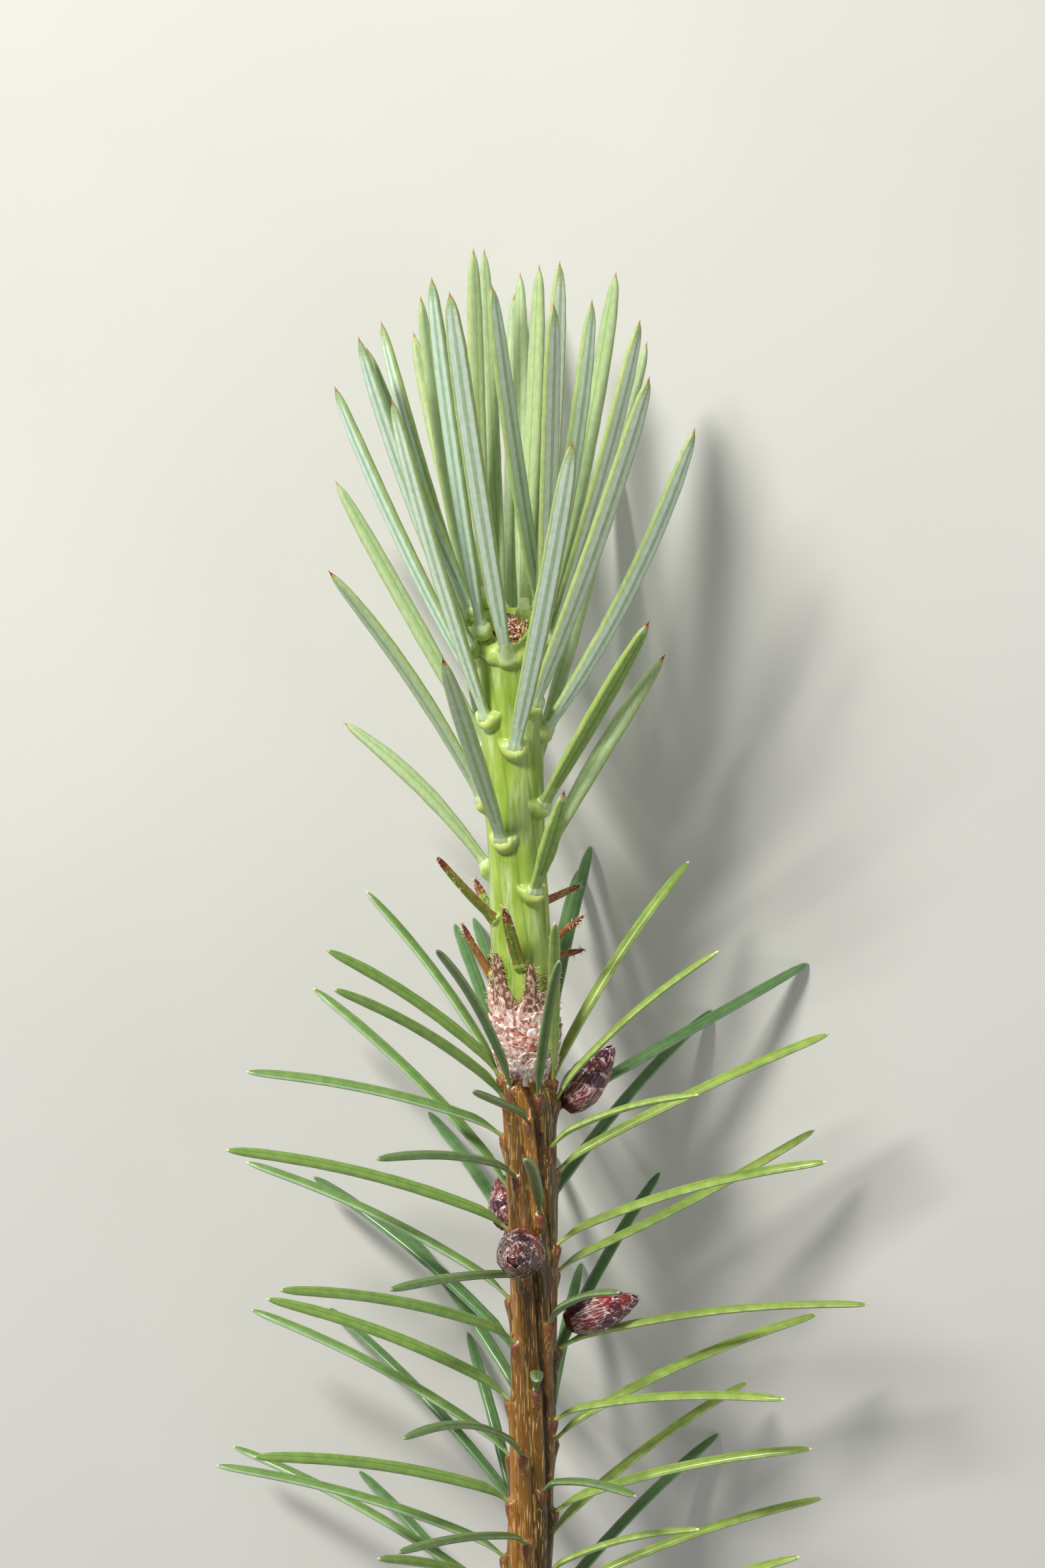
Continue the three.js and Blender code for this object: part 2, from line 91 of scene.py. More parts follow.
# Needle tips in that view: leaf, millimetres right of the middle, millimetres up
BROWN_TIPS = [
    (-12, 5.7, -5.1), (-11, -16.4, -13.8), (-10, 2.7, -11.5), (-9, -4.1, -11.1), (-8, -7.2, -13.8),
    (-7, 13.9, -6.4), (-6, -13.1, -8.9), (-5, 3.1, -14.7), (-4, 4.7, -7.1), (-3, -15.8, -17.1),
    (-2, 16.4, -13.9), (-1, -5.7, -11.6), (0, -4.1, -25.6), (1, 23.8, -14.9), (2, -23.1, -24.0),
    (3, 14.7, -25.9), (5, -12.2, -31.3), (6, 25.6, -20.8), (7, -17.5, -17.0), (8, 0.3, -31.3),
    (9, 15.8, -18.8), (10, -24.8, -30.5), (11, 25.4, -31.5), (12, -7.9, -27.3), (13, -11.1, -42.2),
    (14, 24.4, -28.8), (15, -23.1, -31.5), (16, 8.1, -42.4), (18, -20.3, -42.2), (19, 28.8, -43.4),
    (20, -17.5, -32.7), (21, 1.2, -49.8), (22, 11.5, -32.3), (23, -21.4, -42.9), (24, 21.9, -51.3),
    (25, -10.2, -36.8), (26, -10.0, -54.6), (27, 24.6, -44.2), (28, -22.7, -43.8), (29, 9.5, -59.4),
    (30, 4.9, -39.8), (31, -22.5, -56.1), (32, 24.2, -55.4), (33, -16.2, -43.6), (34, -10.4, -64.1),
    (35, 18.8, -49.8), (36, -25.6, -56.8), (38, -4.6, -45.6), (40, 25.1, -59.5), (41, -24.2, -55.2),
    (43, 16.4, -54.1), (45, 23.2, -64.4), (46, -13.7, -57.2),
]
GREEN_TIPS = [
    (2, -5.0, -11.7), (1, 5.1, -13.8), (0, -1.5, -10.4), (-2, 5.1, -11.0), (-3, -7.1, -6.1),
    (-4, 4.8, -8.4), (-5, 3.5, -0.5), (-6, -15.0, 5.2), (-7, 11.9, 10.8), (-8, -6.7, 10.5),
    (-10, 10.6, 13.6), (-11, -16.2, 17.8), (-12, 7.8, 27.0), (-13, 4.2, 28.6), (-14, -15.6, 25.3),
    (-15, 14.4, 29.7), (-16, -10.9, 32.1), (-17, -0.7, 40.9), (-18, 10.6, 34.0), (-19, -15.7, 33.2),
    (-20, 10.4, 36.9), (-21, -6.1, 41.1), (-22, -9.1, 37.7), (-23, 9.8, 38.8), (-24, -13.7, 37.3),
    (-25, -0.2, 42.7), (-26, 2.6, 40.1), (-27, -8.5, 40.7), (-28, 7.8, 42.7), (-29, -7.6, 42.3),
    (-30, -3.2, 44.6), (-31, 3.1, 43.6), (-32, -11.8, 38.6), (-33, 3.1, 40.9), (-34, -2.6, 41.7),
    (-35, -4.1, 44.7), (-36, 5.8, 40.4), (-37, -13.0, 36.4), (-38, 1.4, 43.3),
]

# Side buds: name, azimuth, place along the stem, the way it points, its length and half width
BUDS = [
    ("bud_upper_right", 111, 53.4, (0.62, 0.74, -0.26), 6.9, 1.7),
    ("bud_front", -14, 42.2, (-0.16, 0.16, 0.97), 6.4, 2.0),
    ("bud_left", -136, 42.0, (-0.26, 0.88, -0.4), 6.2, 1.5),
    ("bud_lower_right", 94, 34.3, (0.95, 0.31, -0.05), 6.8, 1.7),
]
BUD_PROFILE = [
    (0, 0.45), (0.12, 0.78), (0.32, 1), (0.55, 0.92), (0.78, 0.58), (0.93, 0.24), (1, 0.06),
]
BUD_CLEARANCE = 0.36
TIP_BUD = ("bud_tip", 95.8, 3.4, 1.45)
TIP_BUD_SUNK, TIP_BUD_LOSS = 1.5, 0.7

# A needle that would touch one already grown is raised or lowered along the line of sight
NEEDLE_ROOM, BUD_ROOM, ROOM_STEP, ROOM_TRIES, ROOM_SAMPLES = 1.2, 0.95, 0.5, 12, 16
PATH_STEPS = 200

# Feet in the tuft that stand aside from the spiral: degrees round, millimetres inward and along
FOOT_MOVES = {
    -4: (0, 0, -1.6), -21: (8, -0.2, 0.5), -24: (4, 0, -0.4), -25: (0, 0, 0.3), -26: (42, 0, 0),
    -29: (-12, 0, 0.8), -32: (8, 0, 0.3), -34: (78, 0, 0.3), -37: (-24, 0.2, 0), -38: (-31, 1.2, -1.4),
}

# Feet on the brown wood stand a little above the spiral: leaf, millimetres along
BROWN_FOOT_RISES = [(-12, 0.8), (-2, 1.0), (0, 1.1), (6, 1.7), (11, 0.9), (20, 0.9), (34, 0.3), (46, 0.3)]

# Some of them are moved besides: degrees round, millimetres inward and along
BROWN_FOOT_MOVES = {
    -8: (-14, 0, 0), -5: (-10, 0, 0), 3: (0, 0, 0.5), 6: (0, 0, 0.7), 8: (0, 0, 0.3),
    13: (-16, 0, 0.2), 14: (0, 0, -0.5), 16: (0, 0, -0.4), 24: (0, 0, -0.4), 27: (0, 0, 0.5),
}


# Where things stand on the stem

def unit(vector):
    return vector / np.linalg.norm(vector)


def between(table, at):
    return np.interp(at, [row[0] for row in table], [row[1] for row in table])


def girth(along):
    return between(GIRTH, along)


def outward(azimuth):
    angle = np.radians(azimuth)
    return np.stack([np.sin(angle), np.zeros_like(angle), np.cos(angle)], axis=-1)


def stem_middle(along):
    along = np.asarray(along, float)
    bow = BOW * np.cos(np.pi * (along - BOW_CREST) / BOW_HALF_WAVE)
    return np.stack([BOW_SHIFT + bow, along, np.zeros_like(along)], axis=-1)


def on_stem(azimuth, along, radius):
    return stem_middle(along) + outward(azimuth) * np.asarray(radius)[..., None]


def leaf_at(wood, along):
    along = np.asarray(along, float)
    even = (wood["zero"] - along) / wood["step"]
    if wood is BROWN:
        crowded = np.clip(along - wood["zero"], 0, None) / wood["crowd"]
        return np.where(along <= wood["zero"], even, -crowded ** (1 / wood["crowd_power"]))
    ring_start = wood["zero"] - wood["step"] * wood["ring"]
    ring = wood["ring"] - (along - ring_start) / wood["ring_step"]
    foot = (wood["zero"] - along) / wood["foot_step"]
    return np.where(along < wood["zero"], foot, np.where(along < ring_start, even, ring))


def seat_of(wood, leaf):
    if wood is BROWN:
        crowded = wood["zero"] + wood["crowd"] * max(0, -leaf) ** wood["crowd_power"]
        even = wood["zero"] - wood["step"] * leaf if leaf >= 0 else crowded
    elif leaf > 0:
        even = wood["zero"] - wood["foot_step"] * leaf
    else:
        below = max(leaf, wood["ring"])
        even = wood["zero"] - wood["step"] * below + wood["ring_step"] * (below - leaf)
    return even + wood["shifts"].get(leaf, 0)


def ridge_azimuth(wood, rank, along):
    return wood["azimuth"] + GOLDEN_ANGLE * rank + TURN_PER_LEAF * (leaf_at(wood, along) - rank)


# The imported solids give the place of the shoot's own middle line in the row frame
tip_low, tip_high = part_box(TIP_BUD[0])
stem_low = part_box("stem_last_year")[0]
OFFSET = np.array([
    (tip_low.x + tip_high.x) / 2 / MM - stem_middle(TIP_BUD[1])[0],
    stem_low.y / MM,
    (tip_low.z + tip_high.z) / 2 / MM,
])


# Needles: the growing rule of the part's source

def sight_point(right, up, height):
    ahead, upward = math.sin(math.radians(VIEW_LEAN)), math.cos(math.radians(VIEW_LEAN))
    eye = np.array([0, VIEW_MIDDLE + VIEW_DISTANCE * ahead, VIEW_DISTANCE * upward])
    seen = np.array([right, VIEW_MIDDLE + up * upward, -up * ahead])
    return eye + (seen - eye) * (height - eye[2]) / (seen[2] - eye[2])


def reach_of(wood, leaf):
    if wood is BROWN:
        return BROWN_REACH
    if leaf >= LAST_LONG_LEAF:
        return SCALE_LEAF_REACH - GREEN_REACH_LOSS * leaf
    return GREEN_REACH + GREEN_REACH_LOSS * min(0, leaf - GREEN["ring"])


def tip_of(wood, leaf, azimuth, lift):
    lowest = PRESSED_HEIGHT - AXIS_HEIGHT
    reach = reach_of(wood, leaf)
    height = max(reach * math.cos(math.radians(azimuth)) + lift, lowest)
    if wood is GREEN and leaf in LEGS:
        height = lowest
    for number, right, up in BROWN_TIPS if wood is BROWN else GREEN_TIPS:
        if number == leaf:
            return sight_point(right, up, height)
    rise = SCALE_LEAF_RISE if leaf > LAST_LONG_LEAF else GREEN_RISE
    rise = BROWN_RISE if wood is BROWN else rise
    tip = on_stem(azimuth, seat_of(wood, leaf) + rise, reach)
    tip[2] = height
    return tip


class Needle:
    """One leaf of the spiral: where it stands and the curve that it grows along."""

    def __init__(self, wood, leaf, lift):
        self.wood, self.leaf, self.rank = wood, leaf, leaf % RIDGES
        self.seat = seat_of(wood, leaf)
        self.azimuth = float(ridge_azimuth(wood, self.rank, self.seat))
        self.tip = tip_of(wood, leaf, self.azimuth, lift)
        self.set_foot(0, 0, 0)

    def set_foot(self, turn, inset, rise):
        """Stands the leaf on the stem, turned by degrees, moved in and along by millimetres."""
        self.azimuth += turn
        self.seat += rise
        radius = girth(self.seat) + self.wood["root_lift"] - inset
        self.root = on_stem(self.azimuth, self.seat, radius)
        chord = self.tip - self.root
        ahead = unit(chord)
        to_tip = unit(ALONG - ahead * ahead[1])
        arch = self.wood["arches"].get(self.leaf, self.wood["arch"])
        self.bend = (self.root + self.tip) / 2 + to_tip * 2 * arch * np.linalg.norm(chord)
        self.steps = np.linspace(0, 1, PATH_STEPS + 1)
        pieces = np.linalg.norm(np.diff(self.curve(self.steps), axis=0), axis=1)
        self.lengths = np.concatenate([[0], np.cumsum(pieces)])
        self.length = self.lengths[-1]
        self.samples = self.at(np.linspace(0, self.length, ROOM_SAMPLES + 1))[1:]

    def curve(self, share):
        share = np.asarray(share)[..., None]
        rest = 1 - share
        return rest * rest * self.root + 2 * rest * share * self.bend + share * share * self.tip

    def at(self, place):
        """Points at distances from the root. Ahead of the root the line runs on straight."""
        place = np.asarray(place, float)
        inside = self.curve(np.interp(place, self.lengths, self.steps))
        start = unit(self.bend - self.root)
        return inside + np.minimum(0, place)[..., None] * start


def bud_place(name, azimuth, seat, way, length, radius):
    aim = unit(np.array(way))
    tilt = math.sqrt(1 - float(aim @ outward(azimuth)) ** 2)
    foot = BUD_PROFILE[0][1] * radius
    root = on_stem(azimuth, seat, girth(seat) + BUD_CLEARANCE + foot * tilt)
    return {"name": name, "root": root, "aim": aim, "length": length, "radius": radius}


def is_clear(needle, grown, buds):
    others = [n.samples for n in grown if n.wood is not needle.wood or n.rank != needle.rank]
    if others:
        apart = np.linalg.norm(np.concatenate(others)[:, None] - needle.samples, axis=2)
        if apart.min() < NEEDLE_ROOM:
            return False
    for bud in buds:
        share = np.clip((needle.samples - bud["root"]) @ bud["aim"] / bud["length"], 0, 1)
        middle = bud["root"] + share[:, None] * bud["aim"] * bud["length"]
        away = np.linalg.norm(needle.samples - middle, axis=1)
        if (away < between(BUD_PROFILE, share) * bud["radius"] + BUD_ROOM).any():
            return False
    return True


def grow(wood, leaf, grown, buds):
    best = Needle(wood, leaf, 0)
    attempt = 1
    while attempt <= ROOM_TRIES and not is_clear(best, grown, buds):
        lift = ROOM_STEP * math.ceil(attempt / 2) * (1 if attempt % 2 else -1)
        best = Needle(wood, leaf, lift)
        attempt += 1
    return best


# Colours and finishes

MOTTLE_INPUTS = {
    "Light": "Color", "Dark": "Color", "Grain": "Vector", "Turn": "Vector", "Share": "Float",
    "Softness": "Float",
}
GRAIN_DETAIL = 3


def srgb(red, green, blue):
    linear = [c / 12.92 if c <= 0.04045 else ((c + 0.055) / 1.055) ** 2.4 for c in (red, green, blue)]
    return (*linear, 1.0)


def add_node(nodes, kind, **settings):
    node = nodes.new("ShaderNode" + kind)
    for key, value in settings.items():
        setattr(node, key, value)
    return node


def make_mottle():
    """A group that mixes two colours in grains of a given size, for every plant finish."""
    group = bpy.data.node_groups.new("mottle", "ShaderNodeTree")
    socket = group.interface.new_socket
    for label, kind in MOTTLE_INPUTS.items():
        socket(name=label, in_out="INPUT", socket_type="NodeSocket" + kind)
    socket(name="Color", in_out="OUTPUT", socket_type="NodeSocketColor")
    socket(name="Height", in_out="OUTPUT", socket_type="NodeSocketFloat")
    nodes, link = group.nodes, group.links.new
    given, made = nodes.new("NodeGroupInput"), nodes.new("NodeGroupOutput")
    place = add_node(nodes, "TexCoord")
    turned = add_node(nodes, "VectorRotate", rotation_type="EULER_XYZ")
    grain = add_node(nodes, "VectorMath", operation="MULTIPLY")
    noise = add_node(nodes, "TexNoise")
    noise.inputs["Scale"].default_value = 1
    noise.inputs["Detail"].default_value = GRAIN_DETAIL
    low = add_node(nodes, "Math", operation="SUBTRACT")
    high = add_node(nodes, "Math", operation="ADD")
    spread = add_node(nodes, "MapRange")
    mix = add_node(nodes, "Mix", data_type="RGBA")
    link(place.outputs["Object"], turned.inputs["Vector"])
    link(given.outputs["Turn"], turned.inputs["Rotation"])
    link(turned.outputs["Vector"], grain.inputs[0])
    link(given.outputs["Grain"], grain.inputs[1])
    link(grain.outputs["Vector"], noise.inputs["Vector"])
    for edge in (low, high):
        link(given.outputs["Share"], edge.inputs[0])
        link(given.outputs["Softness"], edge.inputs[1])
    link(noise.outputs["Fac"], spread.inputs["Value"])
    link(low.outputs[0], spread.inputs["From Min"])
    link(high.outputs[0], spread.inputs["From Max"])
    link(spread.outputs["Result"], mix.inputs["Factor"])
    link(given.outputs["Dark"], mix.inputs["A"])
    link(given.outputs["Light"], mix.inputs["B"])
    link(mix.outputs["Result"], made.inputs["Color"])
    link(noise.outputs["Fac"], made.inputs["Height"])
    return group


MOTTLE = make_mottle()


class Finish:
    """A new material, and the nodes that lead to its shader."""

    def __init__(self, name, roughness, specular, coat=0.0):
        self.material = bpy.data.materials.new(name)
        self.material.use_nodes = True
        self.nodes, self.link = self.material.node_tree.nodes, self.material.node_tree.links.new
        self.inputs = self.nodes["Principled BSDF"].inputs
        self.inputs["Roughness"].default_value = roughness
        self.inputs["Specular IOR Level"].default_value = specular
        self.inputs["Coat Weight"].default_value = coat

    def mottle(self, light, dark, grain, share=0.5, softness=0.12, turn=(0, 0, 0)):
        """Two colours in grains: cells to the millimetre each way, and the lighter one's share."""
        node = add_node(self.nodes, "Group", node_tree=MOTTLE)
        cells = [number / MM for number in grain]
        values = (srgb(*light), srgb(*dark), cells, turn, share, softness)
        for label, value in zip(MOTTLE_INPUTS, values):
            node.inputs[label].default_value = value
        return node.outputs

    def mark(self, name):
        """How much of a mark the mesh carries at each of its points."""
        return add_node(self.nodes, "Attribute", attribute_name=name).outputs["Fac"]

    def mix(self, factor, first, second):
        """A colour mix. Each end is a colour's numbers or the output that gives it."""
        mix = add_node(self.nodes, "Mix", data_type="RGBA")
        self.link(factor, mix.inputs["Factor"])
        for end, value in (("A", first), ("B", second)):
            if isinstance(value, tuple):
                mix.inputs[end].default_value = srgb(*value)
            else:
                self.link(value, mix.inputs[end])
        return mix.outputs["Result"]

    def math(self, operation, first, *others):
        node = add_node(self.nodes, "Math", operation=operation)
        self.link(first, node.inputs[0])
        for place, value in enumerate(others, 1):
            if isinstance(value, (int, float)):
                node.inputs[place].default_value = value
            else:
                self.link(value, node.inputs[place])
        return node.outputs[0]

    def bump(self, height, depth):
        bump = add_node(self.nodes, "Bump")
        bump.inputs["Distance"].default_value = depth * MM
        self.link(height, bump.inputs["Height"])
        self.link(bump.outputs["Normal"], self.inputs["Normal"])


def plain_finish(name, light, dark, grain, roughness=0.5, depth=0.03, share=0.5, softness=0.15,
                 specular=0.4, coat=0.0, turn=(0, 0, 0)):
    """Two close tones in grains, with a matching fine relief."""
    finish = Finish(name, roughness, specular, coat)
    tones = finish.mottle(light, dark, grain, share, softness, turn)
    finish.link(tones["Color"], finish.inputs["Base Color"])
    finish.bump(tones["Height"], depth)
    return finish.material


def brown_bark_finish():
    """Glossy amber ridges with coppery fibres and painted highlight streaks, grooves darkened as painted
    shade, golden lines between, pink leaf pegs.
    """
    gloss, coat, dull = 0.3, 0.25, 0.3
    finish = Finish("bark_copper", gloss, 0.5, coat)
    finish.inputs["Coat Roughness"].default_value = 0.2
    streaks = (1.7, 0.1, 1.7)
    fibres = finish.mottle((0.64, 0.43, 0.18), (0.55, 0.36, 0.12), streaks, 0.5, 0.3)
    dark_fibres = finish.mottle((0.35, 0.25, 0.05), (0.29, 0.20, 0.04), streaks, 0.5, 0.3)
    # Painted highlights: sparse thin bright coppery streaks mixed into the colour
    painted_glints = finish.mottle((1, 1, 1), (0, 0, 0), (11, 0.35, 11), 0.62, 0.04)
    # The tint mark holds each leaf's random tint less a painted shade toward the right side
    colour = finish.mix(finish.mark("tint"), dark_fibres["Color"], fibres["Color"])
    colour = finish.mix(painted_glints["Color"], colour, (0.93, 0.74, 0.50))
    # The groove mark paints shade into the grooves, darker and wider where they run deep
    colour = finish.mix(finish.mark("groove"), colour, (0.16, 0.10, 0.03))
    colour = finish.mix(finish.mark("line"), colour, (0.84, 0.69, 0.34))
    colour = finish.mix(finish.mark("peg"), colour, (0.48, 0.27, 0.21))
    finish.link(colour, finish.inputs["Base Color"])
    for socket, smooth_value, peg_change in (("Roughness", gloss, dull), ("Coat Weight", coat, -coat)):
        duller = finish.math("MULTIPLY_ADD", finish.mark("peg"), peg_change, smooth_value)
        finish.link(duller, finish.inputs[socket])
    finish.bump(fibres["Height"], 0.012)
    return finish.material


def green_bark_finish():
    """Smooth fresh green with pale streaks over the knobs, knobs paler toward their crests partly as
    painted highlight, and finer lines between cushions.
    """
    finish = Finish("bark_green", 0.34, 0.45, 0.15)
    fresh = finish.mottle((0.67, 0.76, 0.35), (0.51, 0.63, 0.18), (1.1, 0.24, 1.1), 0.5, 0.18)
    colour = finish.mix(finish.mark("groove"), fresh["Color"], (0.38, 0.54, 0.14))
    # The knobs grow paler yellow-green toward their crests: partly their own colour and partly a painted
    # highlight
    colour = finish.mix(finish.mark("knob"), colour, (0.72, 0.79, 0.38))
    colour = finish.mix(finish.mark("flare"), colour, (0.80, 0.87, 0.62))
    speckle = finish.mottle((1, 1, 1), (0, 0, 0), (4, 0.5, 4), 0.5, 0.16)
    pale = finish.math("MULTIPLY", speckle["Color"], finish.mark("pale"))
    colour = finish.mix(pale, colour, (0.86, 0.92, 0.72))
    finish.link(colour, finish.inputs["Base Color"])
    finish.bump(fresh["Height"], 0.03)
    return finish.material


# Colours of the cut end, from the pith in the middle to the bark, at shares of the radius
CUT_STOPS = [
    (0.0, (0.42, 0.26, 0.13)), (0.11, (0.62, 0.46, 0.26)), (0.15, (0.90, 0.82, 0.60)),
    (0.42, (0.93, 0.87, 0.68)), (0.55, (0.84, 0.76, 0.52)), (0.75, (0.72, 0.74, 0.38)),
    (0.88, (0.46, 0.30, 0.14)),
]


def cut_wood_finish():
    """Pale sapwood in faint rings round a small brown pith."""
    finish = Finish("cut_wood", 0.7, 0.3)
    place, centre = add_node(finish.nodes, "TexCoord"), add_node(finish.nodes, "Mapping")
    middle = (stem_middle(BROWN_FOOT) + OFFSET) * MM
    centre.inputs["Location"].default_value = [-c for c in middle]
    flat = add_node(finish.nodes, "VectorMath", operation="MULTIPLY")
    flat.inputs[1].default_value = (1 / MM, 0, 1 / MM)
    radius = add_node(finish.nodes, "VectorMath", operation="LENGTH")
    ramp = add_node(finish.nodes, "ValToRGB")
    elements = ramp.color_ramp.elements
    while len(elements) < len(CUT_STOPS):
        elements.new(1)
    for element, (at, colour) in zip(elements, CUT_STOPS):
        element.position, element.color = at, srgb(*colour)
    finish.link(place.outputs["Object"], centre.inputs["Vector"])
    finish.link(centre.outputs["Vector"], flat.inputs[0])
    finish.link(flat.outputs["Vector"], radius.inputs[0])
    share = finish.math("DIVIDE", radius.outputs["Value"], float(girth(BROWN_FOOT)))
    finish.link(share, ramp.inputs["Fac"])
    finish.link(ramp.outputs["Color"], finish.inputs["Base Color"])
    return finish.material


# Making pieces

def mesh_piece(name, points, faces, finishes, slots=None, marks=None):
    """A mesh in the row frame from points in the shoot's own millimetres."""
    mesh = bpy.data.meshes.new(name)
    placed = (np.asarray(points) + OFFSET) * MM
    mesh.from_pydata(placed.tolist(), [], faces)
    for finish in finishes:
        mesh.materials.append(finish)
    if slots is not None:
        mesh.polygons.foreach_set("material_index", slots)
    mesh.polygons.foreach_set("use_smooth", [True] * len(mesh.polygons))
    for mark, values in (marks or {}).items():
        mesh.attributes.new(mark, "FLOAT", "POINT").data.foreach_set("value", values)
    mesh.update()
    piece = bpy.data.objects.new(name, mesh)
    bpy.context.scene.collection.objects.link(piece)
    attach(piece, "root")
    return piece


def choose(piece):
    bpy.ops.object.select_all(action="DESELECT")
    piece.select_set(True)
    bpy.context.view_layer.objects.active = piece


def apply_modifier(piece, kind, **settings):
    choose(piece)
    modifier = piece.modifiers.new(kind.lower(), kind)
    for key, value in settings.items():
        setattr(modifier, key, value)
    bpy.ops.object.modifier_apply(modifier=modifier.name)


def stand(piece, middle, way):
    """Turns a new piece's upright axis the way given and moves it to its place, in its mesh."""
    turn = Vector((0, 0, 1)).rotation_difference(Vector(way)).to_matrix().to_4x4()
    piece.data.transform(Matrix.Translation(Vector((middle + OFFSET) * MM)) @ turn)


def closed_tube(rings):
    """Points and faces of a tube through rings of points, with both ends closed."""
    rings = np.asarray(rings)
    count, sides = rings.shape[:2]
    ring, side = np.meshgrid(np.arange(count - 1), np.arange(sides), indexing="ij")
    a, b = ring * sides + side, ring * sides + (side + 1) % sides
    faces = np.stack([a, b, b + sides, a + sides], axis=-1).reshape(-1, 4).tolist()
    last = (count - 1) * sides
    faces += [list(range(sides))[::-1], list(range(last, last + sides))]
    return rings.reshape(-1, 3), faces


def merged(parts):
    """The points and faces of many small meshes as those of one."""
    points, faces, first = [], [], 0
    for part_points, part_faces, *_ in parts:
        points.append(part_points)
        faces += [[first + corner for corner in face] for face in part_faces]
        first += len(part_points)
    return np.concatenate(points), faces


def smooth(low, high, at):
    share = np.clip((at - low) / (high - low), 0, 1)
    return share * share * (3 - 2 * share)


def bell(at, half):
    """A hill of height 1 round zero, which has fallen to a third at half."""
    return np.exp(-((at / half) ** 2))


def half_turn(azimuth):
    """The same azimuth, between -180 and 180 degrees."""
    return (azimuth + 180) % 360 - 180


# Bark: millimetres and shares, with the rim's half width in degrees. Edges of
# lines run from 0 at a ridge's middle to 1 in the groove.

BARK_SIDES, BARK_STEP = 208, 0.16
LEAVES_PER_COLUMN = 3
NO_LEAF_ABOVE = 99.0
GROOVE_DEPTH, SHALLOW_SHARE, RIDGE_CROWN = 0.33, 0.4, 0.1
CUSHION_SLACK, CUSHION_SLOPE = 0.12, (1, 8)
GROOVE_START, GROOVE_WIDENING, GROOVE_END = 0.64, 0.24, 0.96
DEEP_SPAN, GOLDEN_SPAN, GOLDEN_EDGE, PEG_SPAN = (-0.3, 0.15), (-0.3, 0.3), (0.84, 0.95), (0.25, 0.9)
# How strongly the groove's painted shade, the golden lines and the pegs show, the range of the leaves'
# random tints, and the painted shade toward the right side
GROOVE_SHADE, GOLDEN_SHADE, PEG_SHADE, LEAF_TINTS, RIGHT_SIDE_PAINTED_SHADE = 0.9, 0.8, 0.85, (0, 0.85), 0.3
PEG_HEIGHT, PEG_BELOW, PEG_ABOVE, PEG_HALF, PEG_NARROWING = 0.46, 1.5, 0.26, 0.5, 0.12
PETIOLE_DROP = 0.8
CUT_RINGS = (0.25, 0.6, 0.97)
KNOB_HEIGHT, KNOB_HALF, SMALL_KNOB, KNOB_DOME, KNOB_FLAT = 0.78, 1.42, 0.55, 0.6, 0.8
KNOB_DROP, KNOB_CREST, KNOB_LOBES, KNOB_SADDLE = 1.3, 0.62, 0.4, 0.5
SADDLE_HALF, SADDLE_SLOPE = 0.36, (-0.45, 0.15)
FOOT_PALE, FOOT_HIGH, FOOT_TALL, FOOT_WIDE = 0.8, 0.1, 0.36, 0.55
WEDGE_START, WEDGE_LENGTH, WEDGE_TAPER, WEDGE_FADE, WEDGE_LOWEST = 0.35, 1.9, 2.6, 0.6, 0.25
FINE_LINE, LINE_DEPTH, LINE_SHADE, GREEN_CROWN = (0.82, 1.0), 0.05, 0.3, 0.05
STRIPE_HALF, STRIPE_SHADE, BLOOM_SPAN, BLOOM_SHADE = 0.12, 0.25, (0.05, 0.6), 0.45
RIM_DROOP, RIM_BEND, RIM_HALF = 2.2, 91.5, 50
CUP_ROWS = [(96.95, 2.3), (96.6, 2.0), (96.0, 1.75), (95.3, 1.2), (94.9, 0.6), (94.8, 0.02)]

# Random hills on the bark: how many round the stem and along it, their seed and height
HILLS = {
    "groove depth": ((RIDGES, 4), 8, 1), "golden lines": ((64, 90), 7, 1),
    "brown shade": ((26, 8), 3, 0.25), "brown fine": ((96, 24), 1, 0.005),
    "brown broad": ((20, 22), 2, 0.05), "green fine": ((30, 24), 4, 0.02),
    "green broad": ((10, 14), 5, 0.04), "bloom": ((16, 9), 6, 1),
}
LATTICE_MARGIN = 1.001


def hills(name, across, along):
    """Smooth random hills and hollows. Across goes round once from 0 to 1."""
    cells, seed, height = HILLS[name]
    lattice = np.random.default_rng(seed).uniform(-1, 1, cells)
    u, v = across * cells[0], np.clip(along, 0, 1) * (cells[1] - LATTICE_MARGIN)
    column, row = np.floor(u).astype(int), np.floor(v).astype(int)
    fu, fv = smooth(0, 1, u - column), smooth(0, 1, v - row)
    left, right = column % cells[0], (column + 1) % cells[0]
    low = lattice[left, row] * (1 - fu) + lattice[right, row] * fu
    high = lattice[left, row + 1] * (1 - fu) + lattice[right, row + 1] * fu
    return height * (low * (1 - fv) + high * fv)


def cushion_grid(wood, places):
    """Grid round the stem: azimuths, places, how far each point is from its ridge's middle
    (0) to the groove (1), and the rank of the leaves on that ridge."""
    around, along = np.meshgrid(360 * np.arange(BARK_SIDES) / BARK_SIDES, places)
    turn = (around - wood["azimuth"] - TURN_PER_LEAF * leaf_at(wood, along)) * RIDGES / 360
    column = np.round(turn).astype(int)
    return around, along, 2 * (turn - column), (LEAVES_PER_COLUMN * column) % RIDGES


def leaf_above(wood, along, rank):
    """How far below its own leaf each point of the grid lies, and which leaf that is."""
    below, owner = np.full(along.shape, NO_LEAF_ABOVE), np.full(along.shape, wood["first"])
    for leaf in range(wood["first"], wood["last"] + 1):
        drop = seat_of(wood, leaf) - along
        own = (rank == leaf % RIDGES) & (drop >= 0) & (drop < below)
        below[own], owner[own] = drop[own], leaf
    return below, owner


def near_leaf(needle, around, along):
    """Millimetres right of and above a leaf's seat, for each point of the grid."""
    turn = half_turn(around - needle.azimuth)
    return np.radians(turn) * girth(needle.seat), along - needle.seat


